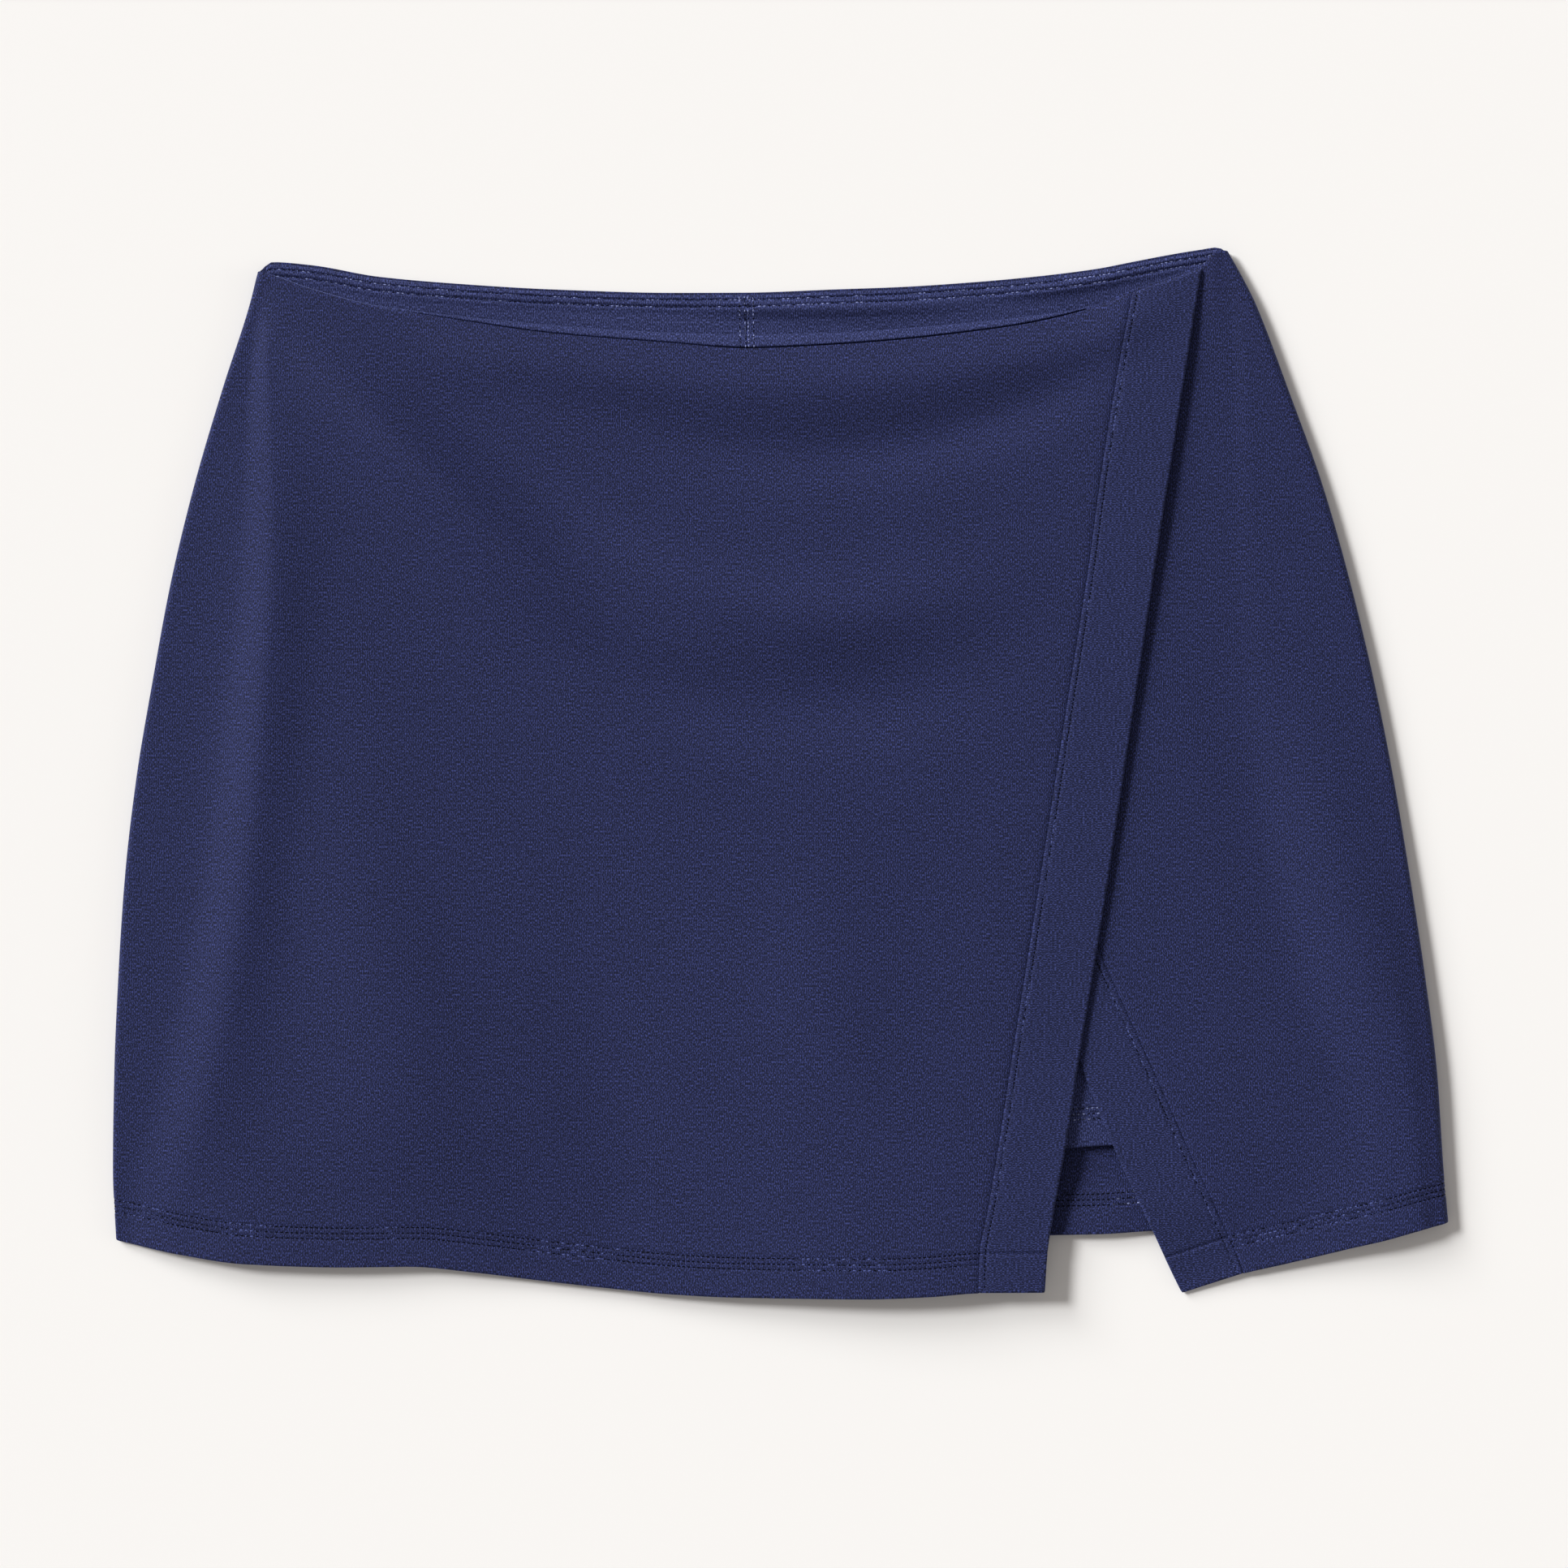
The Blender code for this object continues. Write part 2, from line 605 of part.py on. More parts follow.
def lay_piece(collection, name, surface, last, rows, colour, wall=CLOTH_WALL, faces_down=False, **options):
    """Lays a grid over a piece's outer face and thickens it inwards."""
    sheet = bmesh.new()
    bmesh.ops.create_grid(sheet, x_segments=last, y_segments=rows, size=0.5)
    index = np.array([round((vert.co.x + 0.5) * last) for vert in sheet.verts], float)
    row = np.array([round((0.5 - vert.co.y) * rows) for vert in sheet.verts], float)
    places = np.array(surface(index, row, last, rows, **options)).T * MM
    for vert, place in zip(sheet.verts, places):
        vert.co = place
    if faces_down:
        bmesh.ops.reverse_faces(sheet, faces=sheet.faces)
    mesh = bpy.data.meshes.new(name)
    sheet.to_mesh(mesh)
    sheet.free()
    mesh.shade_smooth()
    mesh.materials.append(knit(name + "_knit", *colour))
    piece = bpy.data.objects.new(name, mesh)
    collection.objects.link(piece)
    wall_of_cloth = piece.modifiers.new("wall", "SOLIDIFY")
    wall_of_cloth.thickness = wall * MM
    wall_of_cloth.offset = -1.0
    wall_of_cloth.use_even_offset = True
    return piece


def main():
    """Clears the scene and lays the pieces, from the table up."""
    for old in list(bpy.data.objects):
        bpy.data.objects.remove(old, do_unlink=True)
    skort = bpy.data.collections.new("wrap_skort")
    bpy.context.scene.collection.children.link(skort)

    lay_piece(skort, "skirt_back", skirt_back, 30, 18, (44, 49, 84), faces_down=True)
    for side, wearers_left in (("left", True), ("right", False)):
        for end, front in (("back", False), ("front", True)):
            lay_piece(
                skort,
                f"shorts_{end}_{side}",
                shorts_panel,
                9,
                16,
                (54, 59, 95),
                faces_down=not front,
                wearers_left=wearers_left,
                front=front,
            )
    lay_piece(skort, "skirt_front_under", under_front, 20, 22, (46, 51, 86))
    lay_piece(skort, "wrap_band_under", under_band, 4, 22, (47, 51, 86), wall=BAND_WALL)
    lay_piece(skort, "skirt_front_over", over_front, 32, 24, (45, 50, 86))
    lay_piece(skort, "wrap_band_over", over_band, 4, 24, (47, 51, 86), wall=BAND_WALL)


main()
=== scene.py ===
"""Looks of a wrap skort of navy double-knit jersey, laid flat with its front up.

Every piece of cloth is a closed shell on the form of its CAD solid: its outer
face is a grid of points worked out with numpy, its inner face lies one wall
of cloth inside, and a rounded rim joins the two. Lengths are in millimetres
until a mesh is made. +X runs to the right over the front, +Y towards the
waist and +Z up from the table.
"""

import logging
import math
from dataclasses import dataclass, field
from enum import Enum
from functools import partial
from typing import Callable, Iterable

import bpy
import mathutils
import numpy as np
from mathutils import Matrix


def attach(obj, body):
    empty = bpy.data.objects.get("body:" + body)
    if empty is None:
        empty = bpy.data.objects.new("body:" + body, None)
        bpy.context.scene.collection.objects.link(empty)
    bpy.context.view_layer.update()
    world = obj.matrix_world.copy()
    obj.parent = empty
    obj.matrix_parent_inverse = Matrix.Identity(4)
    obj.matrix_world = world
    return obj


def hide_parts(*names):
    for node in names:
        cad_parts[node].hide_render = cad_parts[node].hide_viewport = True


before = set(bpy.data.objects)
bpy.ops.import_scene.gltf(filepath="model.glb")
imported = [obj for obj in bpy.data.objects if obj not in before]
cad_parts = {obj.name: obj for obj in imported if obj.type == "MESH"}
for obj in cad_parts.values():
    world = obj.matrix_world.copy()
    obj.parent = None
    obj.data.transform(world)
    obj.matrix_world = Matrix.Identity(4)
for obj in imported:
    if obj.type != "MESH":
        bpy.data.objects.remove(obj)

LOG = logging.getLogger("wrap_skort")
MM = 0.001
FOLD_BELLS = 60  # round bells along each soft fold
RIM_STEPS = 3  # rings of points round a rim

Array = np.ndarray
Table = dict[str, Array]  # columns by name
Place = Callable[[Array], Array]  # an edge: plan points at shares of its length
Face = Callable[[Array, Array], Array]  # a height over each plan point


class Side(Enum):
    """An edge of a grid of points, as it lies in the photograph."""

    LEFT = "left"
    RIGHT = "right"
    TOP = "top"
    BOTTOM = "bottom"


# Small helpers for curves -------------------------------------------------------


def table(names: str, *rows: tuple[float, ...]) -> Table:
    """Turns a short table into one array for each named column.

    Args:
        names: column names, parted by spaces.
        rows: one tuple for each row.

    Returns:
        The columns by name.
    """
    return dict(zip(names.split(), np.array(rows, float).T))


def ease(share: Array) -> Array:
    """Soft step s*s*(3 - 2s) from 0 to 1, level at both ends."""
    share = np.clip(share, 0.0, 1.0)
    return share * share * (3.0 - 2.0 * share)


def fade(level: Array, target: Array, share: Array) -> Array:
    """Height that is the target at share 0 and back at the level from share 1."""
    return level + (target - level) * ease(1.0 - share)


def bell(away: Array, width: float) -> Array:
    """Bell exp(-(away / width)^2 / 2), 1 at its middle."""
    return np.exp(-0.5 * (away / width) ** 2)


def curve(at: Array, stations: Array, values: Array) -> Array:
    """Smooth curve through a table's rows that never swings past them.

    Each stretch is a cubic. Its slope at a row is the harmonic mean of the
    slopes of the chords on both sides, or level where those differ in sign.

    Args:
        at: where the curve is read.
        stations: the rows' places.
        values: the rows' values.

    Returns:
        The values of the curve.
    """
    order = np.argsort(stations)
    xs = stations[order]
    ys = values[order]
    chords = np.diff(ys) / np.diff(xs)
    before = chords[:-1]
    after = chords[1:]
    same = before * after > 0.0
    total = np.where(same, before + after, 1.0)
    inner = np.where(same, 2.0 * before * after / total, 0.0)
    slopes = np.concatenate((chords[:1], inner, chords[-1:]))
    k = np.clip(np.searchsorted(xs, at) - 1, 0, len(xs) - 2)
    width = xs[k + 1] - xs[k]
    t = np.clip((at - xs[k]) / width, 0.0, 1.0)
    rising = t * t * (3.0 - 2.0 * t)
    return (
        ys[k] * (1.0 - rising)
        + ys[k + 1] * rising
        + width * t * (1.0 - t) * (slopes[k] * (1.0 - t) - slopes[k + 1] * t)
    )


def column(rows: Table, name: str, at: Array, key: str = "y") -> Array:
    """One column of a table, read where its key column has the given value."""
    return curve(np.asarray(at, float), rows[key], rows[name])


def spread(index: Array, *stops: tuple[float, Array | float]) -> Array:
    """Distance of a grid line, straight between stops.

    Args:
        index: line numbers.
        stops: pairs of a line's number and its distance, in order.

    Returns:
        The distance at each line number.
    """
    distance = 0.0 * index + stops[0][1]
    for (line, start), (next_line, end) in zip(stops, stops[1:]):
        share = np.clip((index - line) / (next_line - line), 0.0, 1.0)
        distance = distance + (end - start) * share
    return distance


def side_edge(rows: Table, name: str, top: float, bottom: float, shift: float = 0.0) -> Place:
    """Edge that runs down a panel, from share 0 at the top to 1 at the bottom.

    Args:
        rows, name: the table and the column that gives x at each y.
        top, bottom: y at both ends.
        shift: how far the edge is moved along x.

    Returns:
        The edge.
    """

    def place(share: Array) -> Array:
        """Plan points of the edge at the given shares."""
        y = top + (bottom - top) * share
        return np.array((column(rows, name, y) + shift, y))

    return place


def cross_edge(rows: Table, name: str, start: float, end: float, shift: float = 0.0) -> Place:
    """Edge that runs across a panel, from share 0 at its start to 1 at its end.

    Args:
        rows, name: the table and the column that gives y at each x.
        start, end: x at both ends.
        shift: how far the edge is moved along y.

    Returns:
        The edge.
    """

    def place(share: Array) -> Array:
        """Plan points of the edge at the given shares."""
        x = start + (end - start) * share
        return np.array((x, column(rows, name, x, "x") + shift))

    return place


def straight_edge(start: Array, end: Array) -> Place:
    """Straight edge between two points in plan.

    Args:
        start, end: the points at share 0 and at share 1.

    Returns:
        The edge.
    """

    def place(share: Array) -> Array:
        """Plan points of the edge at the given shares."""
        return start + (end - start) * share

    return place


def flip(edge: Place) -> Place:
    """The same edge, run the other way."""
    return lambda share: edge(1.0 - share)


def outline(rows: Table) -> Place:
    """A side fold's outline, from the waist down to the hem."""
    return side_edge(rows, "edge", rows["y"][0], rows["y"][-1])


def patch(
    across: Array, down: Array, left: Place, right: Place, top: Place, bottom: Place
) -> Array:
    """Coons patch in plan: the sides blended across, plus the ends blended
    down, less the flat patch through the four corners.

    Args:
        across: shares from the left edge to the right one.
        down: shares from the top to the bottom.
        left, right, top, bottom: the four edges.

    Returns:
        The x and y of each point.
    """
    first = 0.0 * across
    last = first + 1.0
    sides = (1.0 - across) * left(down) + across * right(down)
    ends = (1.0 - down) * top(across) + down * bottom(across)
    corners = (1.0 - down) * ((1.0 - across) * left(first) + across * right(first))
    corners += down * ((1.0 - across) * left(last) + across * right(last))
    return sides + ends - corners


def soft_folds(x: Array, y: Array, rows: Table) -> Array:
    """Sum of long soft folds. Each is a bell carried along a bent line: the sum
    of round bells at even shares of the line, faded as half a sine wave.

    Args:
        x, y: plan points.
        rows: table with each fold's line, height and width.

    Returns:
        The height that the folds add.
    """
    total = 0.0 * x
    share = (np.arange(FOLD_BELLS) + 0.5) / FOLD_BELLS
    near, middle, far = (1.0 - share) ** 2, 2.0 * share * (1.0 - share), share**2
    for i in range(len(rows["height"])):
        route_x = near * rows["start_x"][i] + middle * rows["bend_x"][i] + far * rows["end_x"][i]
        route_y = near * rows["start_y"][i] + middle * rows["bend_y"][i] + far * rows["end_y"][i]
        width = rows["width"][i]
        step = np.hypot(np.gradient(route_x), np.gradient(route_y))
        step = step / (width * math.sqrt(2.0 * math.pi))
        strength = rows["height"][i] * np.sin(math.pi * share) * step
        away = np.hypot(x[..., None] - route_x, y[..., None] - route_y)
        total = total + bell(away, width) @ strength
    return total


# Measured lines of the garment --------------------------------------------------

# Side folds from the waist down: place of the outline, height of the folded
# side, place of the shorts' edge inside, width of the front's slope over it.
LEFT_SIDE = table(
    "y edge fold shorts slope",
    (231, -241, 6.2, -237.2, 4),
    (216, -244.7, 5.9, -239.4, 7),
    (176.6, -257.4, 5.4, -239.2, 12),
    (131.6, -270.6, 5.3, -238.6, 16),
    (86.6, -281.4, 5.3, -239.4, 19),
    (41.6, -289.7, 5.4, -243.5, 22),
    (-3.4, -297.2, 5.5, -247.5, 25),
    (-48.4, -302.4, 5.6, -252, 27),
    (-93.4, -305.4, 5.6, -260, 29),
    (-138.4, -307.3, 5.5, -270, 30),
    (-183.4, -308, 4.7, -281, 30),
    (-216, -306.6, 3.2, -288, 28),
)
RIGHT_SIDE = table(
    "y edge fold shorts slope",
    (240, 206.5, 6.2, 201.8, 4),
    (227.3, 213.6, 6.7, 207.6, 5),
    (216, 219.2, 7, 210.8, 6),
    (176.6, 234.2, 7.2, 211.5, 8),
    (131.6, 250.3, 7.2, 212, 10),
    (86.6, 263.1, 7.1, 213.5, 12),
    (41.6, 273.9, 7, 217, 14),
    (-3.4, 282.9, 6.9, 222.5, 17),
    (-48.4, 290.4, 7.6, 231, 20),
    (-93.4, 297.2, 8.2, 243, 23),
    (-138.4, 302.8, 8.7, 261, 25),
    (-183.4, 305.8, 8.8, 282, 26),
    (-207.6, 308, 8, 293, 26),
)

# Waist from side to side: edge of the back, edge of the rolled strip of shorts
# in front, edge of the front shell, and height of that edge's outer face.
WAIST = table(
    "x back strip shell height",
    (-241, 231, 230.6, 231, 6.2),
    (-234.5, 235.5, 229.1, 229.5, 6.4),
    (-216, 234, 222.7, 223.1, 6.8),
    (-186, 228.8, 215, 215, 7.3),
    (-150.6, 225.6, 210.4, 208.7, 7.7),
    (-105.6, 222.9, 206, 202.2, 8),
    (-49.3, 221.3, 202.5, 197.6, 8.2),
    (-15.6, 221.4, 201.8, 195.2, 8.3),
    (25.7, 222.9, 202.5, 196.9, 8.4),
    (54, 223.9, 204.3, 199, 8.5),
    (84, 225.8, 206.8, 202.3, 8.5),
    (114, 228.4, 209.9, 206.6, 8.5),
    (145.7, 232.3, 214.9, 214.5, 8.4),
    (161.8, 235.4, 220.4, 221.3, 8.8),
    (175.7, 238.1, 224.8, 226.1, 8.8),
    (187, 240.1, 228.4, 230.3, 8.6),
    (194.1, 241.2, 230.4, 232.7, 8.5),
    (202, 242.3, 232.8, 240, 6.9),
    (206.5, 240, 234, 240, 6.2),
)

# Wrap edges from the waist down: seam between front and band, free edge of the
# band, and height of the over band's outer face along its free edge.
OVER_WRAP = table(
    "y seam free height",
    (232.7, 164, 194.1, 8.5),
    (221.3, 161.8, 192.2, 9.2),
    (181.4, 154.5, 185.8, 11.2),
    (136.1, 147.2, 178.7, 11.3),
    (94.1, 141.5, 172.3, 11),
    (20, 130, 161.1, 10.5),
    (-55.9, 118.3, 149.8, 10),
    (-130.5, 106.6, 137.8, 9.1),
    (-173.3, 100, 131.1, 9.2),
    (-202.1, 95.1, 125.8, 10.4),
    (-222.4, 91.3, 122.8, 10.9),
    (-239.6, 90.8, 121.7, 11.6),
)
UNDER_WRAP = table(
    "y seam free",
    (196.7, 19.8, -14.5),
    (195.2, 20.5, -13.8),
    (-80.6, 146.1, 113.5),
    (-130.5, 168.9, 136.4),
    (-155.3, 180, 146.6),
    (-175.1, 188.8, 154.6),
    (-205.9, 203.1, 169),
    (-231.2, 213.9, 180.7),
    (-240.6, 216.5, 185.4),
)

# Hems from side to side: edge, height of the outer face there, and how far up
# the panel that height reaches.
OVER_HEM = table(
    "x y height reach",
    (-306.6, -216, 3.2, 60),
    (-276.2, -222.4, 7.4, 70),
    (-246.2, -226.5, 9.6, 75),
    (-201.2, -228, 9, 80),
    (-171.2, -227.8, 7.8, 80),
    (-141.2, -230.6, 6.2, 80),
    (-111.2, -234.4, 4.8, 85),
    (-81.2, -237.8, 4.9, 95),
    (-51.2, -240.6, 6.6, 115),
    (-21.2, -241.9, 8.8, 160),
    (39, -242.3, 13, 160),
    (69, -241.2, 13.4, 150),
    (90.8, -239.6, 12.8, 140),
    (121.7, -239.6, 11.6, 130),
)
UNDER_HEM = table(
    "x y height reach",
    (185.4, -240.6, 2.4, 45),
    (203.8, -234.4, 3.4, 45),
    (213.9, -231.2, 4.4, 50),
    (233.8, -226.5, 5.6, 65),
    (248.8, -222.8, 7, 80),
    (263.8, -219, 8.8, 90),
    (278.8, -215.4, 10.5, 100),
    (293.8, -211.1, 10.9, 100),
    (308, -207.6, 8, 60),
)
BACK_HEM = table(
    "x y lift",
    (-306.6, -216, 0),
    (-240, -219, 0),
    (-120, -220, 0),
    (60, -217.4, 0),
    (124, -213.6, 3.4),
    (148, -213, 4),
    (171.6, -211.6, 2.4),
    (205, -210.2, 0),
    (308, -207.6, 0),
)

# Shorts: centre seam down to the crotch, then the two inner legs.
CROTCH_Y = -79.0
INNER_LEGS = table(
    "y left right",
    (242, -16.4, -16.4),
    (-60, -8.5, -8.5),
    (CROTCH_Y, -8, -8),
    (-120, -3.6, -13),
    (-180, 4, -20),
)
LEG_HEM = table(
    "x y",
    (-290, -168),
    (-20, -176),
    (4, -176),
    (131, -173.3),
    (153.2, -172.2),
    (290, -167),
)

# Soft folds of a front, ridges and troughs: each runs from a start past a bend
# to an end, and the width is that of its bell in section.
OVER_FOLDS = table(
    "start_x start_y bend_x bend_y end_x end_y height width",
    (-230, 196, -80, 50, 80, -50, 3.8, 18),
    (-228, 202, -162, 130, -80, 64, 5, 9),
    (-209, 224, -144, 158, -49, 86, -4, 9.5),
    (-150, 130, -80, 72, 10, 62, -2.2, 9),
    (-214, 120, -120, -30, 10, -100, -3, 20),
    (-104, 172, 50, 108, 176, 208, -3.6, 10),
    (-130, 196, 40, 150, 150, 214, 2.2, 9),
    (-100, 104, 0, 46, 116, 90, 4.6, 13),
    (-136, 80, -14, -2, 104, 48, -3.9, 14),
    (-234, 180, -230, 10, -272, -200, 4.2, 12),
    (-230, 30, -166, -90, -170, -226, 4.6, 24),
    (-110, -60, -60, -150, -72, -240, -3, 22),
    (10, -20, 30, -110, 24, -180, 2.6, 20),
)
UNDER_FOLDS = table(
    "start_x start_y bend_x bend_y end_x end_y height width",
    (238, 40, 262, -90, 314, -196, 3.8, 14),
    (196, 90, 214, -10, 250, -130, -1.3, 13),
)

# Creases of the inner back waist, and of the back on the table, where only
# small ones fit in.
INNER_FOLDS = table(
    "start_x start_y bend_x bend_y end_x end_y height width",
    (-46, 214.6, 26, 211, 108, 217.6, 2.3, 2.5),
    (-44, 208.4, 26, 204, 104, 210, -0.6, 2.4),
    (96, 219, 130, 222, 170, 232, 1.9, 2.6),
    (-200, 226, -150, 216, -104, 214, 0.9, 5),
)
BACK_FOLDS = table(
    "start_x start_y bend_x bend_y end_x end_y height width",
    (-296, -60, -286, -140, -262, -214, 1.1, 7),
    (-268, 60, -276, -20, -288, -96, 0.7, 5),
    (294, -40, 284, -130, 296, -204, 1, 7),
    (258, 96, 266, 20, 276, -60, 0.6, 5),
    (-190, -214, -110, -192, -24, -216, 0.8, 8),
    (30, -190, 90, -206, 128, -196, 0.6, 6),
    (-190, 190, -60, 60, 120, 20, 0.24, 9),
    (-80, -20, 40, -90, 190, -60, 0.22, 11),
    (40, 196, 110, 130, 190, 150, 0.24, 8),
    (-230, -30, -170, -120, -60, -150, 0.2, 10),
)


# Heights of the layers ----------------------------------------------------------


@dataclass(frozen=True)
class Layers:
    """How high each layer's outer face lies over the table, in millimetres.

    A reach is the distance in which one height goes over to another.
    """

    cloth: float = 1.0
    band: float = 1.6
    gap: float = 0.3
    seam_closed: float = 0.2  # pieces sewn together close up by this much
    front: float = 9.2
    overlap_rise: float = 1.5  # where the over front lies on the under one
    overlap_reach: float = 24.0
    overlap_slope: float = 90.0
    under: float = 6.6
    shorts: float = 4.1
    shorts_seam: float = 3.6
    seam_reach: float = 15.0
    waist_reach: float = 45.0
    wrap_reach: float = 60.0
    corner_reach: float = 7.0
    corner_start: float = 1.5  # in reaches before the band's seam
    lift_reach: float = 36.0
    fold_reach: float = 15.0
    fold_flat: float = 0.3
    slope_outside: float = 0.6  # share of a slope outside the shorts' edge
    strip_sink: float = 1.3  # the shorts' upper edge under the shell
    strip_start: float = 1.5
    strip_roll: float = 3.0
    strip_least: float = 0.2  # a strip must pass the shell by more to show
    strip_before: float = 0.4
    strip_proud: float = 0.5  # the strip that shows over the shell
    strip_rise: float = 1.1
    strip_lean: float = 0.3
    leg_lift: float = 2.6  # the wearer's left leg stands up at its hem, in the slit
    leg_lift_x: float = 122.0
    leg_lift_width: float = 14.0
    leg_lift_reach: float = 70.0
    edge_roll: float = 1.5
    edge_round: float = 2.4
    bulge: float = 2.8
    bulge_below: float = 15.0
    bulge_width: float = 9.0
    bulge_reach: float = 60.0

    @property
    def layer(self) -> float:
        """One wall of cloth and the gap under it."""
        return self.cloth + self.gap

    def over_slope(self, level: Array, x: Array, y: Array, rows: Table, inwards: float) -> Array:
        """Level of a front that comes down from the shorts' edge to the flank.

        Args:
            level: the front's level over the shorts.
            x, y: plan points.
            rows: the side's table.
            inwards: 1 where inwards is towards +x, -1 where it is towards -x.

        Returns:
            The level, and the folded side's height outside the slope.
        """
        slope = column(rows, "slope", y)
        inside = inwards * (x - column(rows, "shorts", y))
        return fade(column(rows, "fold", y), level, 1.0 - (inside / slope + self.slope_outside))

    def hem_fall(self, level: Array, x: Array, y: Array, rows: Table) -> Array:
        """Level of a panel that goes over to its hem's own height."""
        above = y - column(rows, "y", x, "x")
        return fade(level, column(rows, "height", x, "x"), above / column(rows, "reach", x, "x"))

    def over_face(self, x: Array, y: Array) -> Array:
        """Outer face of the over front and its band.

        Args:
            x, y: plan points.

        Returns:
            The face's height at each point.
        """
        beside = (x - column(UNDER_WRAP, "free", y)) / self.overlap_slope
        level = self.front + self.overlap_rise * ease(beside + 1.0)
        level = self.over_slope(level, x, y, LEFT_SIDE, 1.0)
        level = level + soft_folds(x, y, OVER_FOLDS)
        below = (column(WAIST, "shell", x, "x") - y) / self.waist_reach
        level = fade(level, column(WAIST, "height", x, "x"), below)
        inside = (column(OVER_WRAP, "free", y) - x) / self.wrap_reach
        level = fade(level, column(OVER_WRAP, "height", y), inside)
        level = self.hem_fall(level, x, y, OVER_HEM) + self.waist_bulge(x, y)
        return level - self.rounded_edge(x, y, "shell") * (1.0 - self.strip_shows(x))

    def waist_bulge(self, x: Array, y: Array) -> Array:
        """Rounded ridge of a front just below its waist seam, gone at the sides.

        Args:
            x, y: plan points.

        Returns:
            The height that the ridge adds.
        """
        away = column(WAIST, "shell", x, "x") - y - self.bulge_below
        inside = ease((x - LEFT_SIDE["edge"][0]) / self.bulge_reach - 1.0)
        inside = inside * ease((OVER_WRAP["free"][0] - x) / self.waist_reach)
        return self.bulge * bell(away, self.bulge_width) * inside

    def from_fold(self, fold: Array, rise: Array, inward: Array, face: Array) -> Array:
        """Height of a front: up its side fold, then over to its own face."""
        return fold / 2 + rise + (face - fold) * ease(inward / self.fold_reach)

    def under_waist(self, x: Array) -> Array:
        """Outer face of the under front at the waist: below the over front and
        its thicker band, and up at the fold past the band's corner.

        Args:
            x: places along the waist.

        Returns:
            The face's height at each place.
        """
        covered = 1.0 - ease((x - OVER_WRAP["free"][0]) / self.corner_reach)
        below_band = ease((x - OVER_WRAP["seam"][0]) / self.corner_reach + self.corner_start)
        layer = self.layer + (self.band - self.cloth) * below_band
        return column(WAIST, "height", x, "x") - layer * covered

    def under_face(self, x: Array, y: Array) -> Array:
        """Outer face of the under front and its band.

        Args:
            x, y: plan points.

        Returns:
            The face's height at each point.
        """
        level = self.over_slope(self.under, x, y, RIGHT_SIDE, -1.0)
        level = level + soft_folds(x, y, UNDER_FOLDS)
        below = (column(WAIST, "shell", x, "x") - y) / self.waist_reach
        level = fade(level, self.under_waist(x), below)
        return self.hem_fall(level, x, y, UNDER_HEM)

    def shorts_face(self, x: Array, y: Array) -> Array:
        """Outer face of the front of the shorts, up to its rolled strip.

        Args:
            x, y: plan points.

        Returns:
            The face's height at each point.
        """
        from_side = np.minimum(
            x - column(LEFT_SIDE, "shorts", y),
            column(RIGHT_SIDE, "shorts", y) - x,
        )
        level = fade(self.shorts, self.shorts_seam, from_side / self.seam_reach)
        from_leg = np.where(
            x > column(INNER_LEGS, "left", CROTCH_Y),
            x - column(INNER_LEGS, "left", y),
            column(INNER_LEGS, "right", y) - x,
        )
        from_leg = from_leg + np.maximum(y - CROTCH_Y, 0.0)
        level = fade(level, self.shorts_seam, from_leg / self.seam_reach)
        from_hem = y - column(LEG_HEM, "y", x, "x")
        lift = self.leg_lift * bell(x - self.leg_lift_x, self.leg_lift_width)
        level = level + lift * ease(1.0 - from_hem / self.leg_lift_reach)
        face = column(WAIST, "height", x, "x")
        beside = (x - UNDER_WRAP["free"][0]) / self.overlap_reach
        below_band = self.under_waist(x) - self.band - self.gap
        waist = fade(below_band, face - self.layer, beside + 1.0)
        shell = column(WAIST, "shell", x, "x")
        level = fade(level, waist, (shell - y) / self.waist_reach)
        past = (y - shell - self.strip_start) / self.strip_roll
        return fade(level, face - self.strip_sink, 1.0 - past)

    def strip_shows(self, x: Array) -> Array:
        """1 where the strip stands past the shell's edge, 0 where it doesn't."""
        past = column(WAIST, "strip", x, "x") - column(WAIST, "shell", x, "x")
        return ease(past - self.strip_least)

    def rounded_edge(self, x: Array, y: Array, edge: str) -> Array:
        """How far a front's upper edge rolls down, in a quarter round."""
        inside = np.clip((column(WAIST, edge, x, "x") - y) / self.edge_round, 0.0, 1.0)
        return self.edge_roll * (1.0 - np.sqrt(1.0 - (1.0 - inside) ** 2))

    def rolled_strip(self, x: Array, y: Array) -> Array:
        """Shorts' front with its strip rolled over the waist seam: past the
        shell's edge it stands up quickly, and leans down to its own edge.

        Args:
            x, y: plan points.

        Returns:
            The face's height at each point.
        """
        past = y - column(WAIST, "shell", x, "x") + self.strip_before
        proud = column(WAIST, "height", x, "x") + self.strip_proud
        proud = proud - self.strip_lean * np.maximum(past, 0.0)
        proud = proud - self.rounded_edge(x, y, "strip")
        hidden = self.shorts_face(x, y)
        rolled = fade(hidden, proud, 1.0 - past / self.strip_rise)
        return hidden + (rolled - hidden) * self.strip_shows(x)

    def back_lift(self, x: Array, y: Array) -> Array:
        """Outer face of the back, which leaves the table at the hem by the slit."""
        above = (y - column(BACK_HEM, "y", x, "x")) / self.lift_reach
        return fade(0.0, column(BACK_HEM, "lift", x, "x"), above)


LAYERS = Layers()


# Grids of cloth -----------------------------------------------------------------


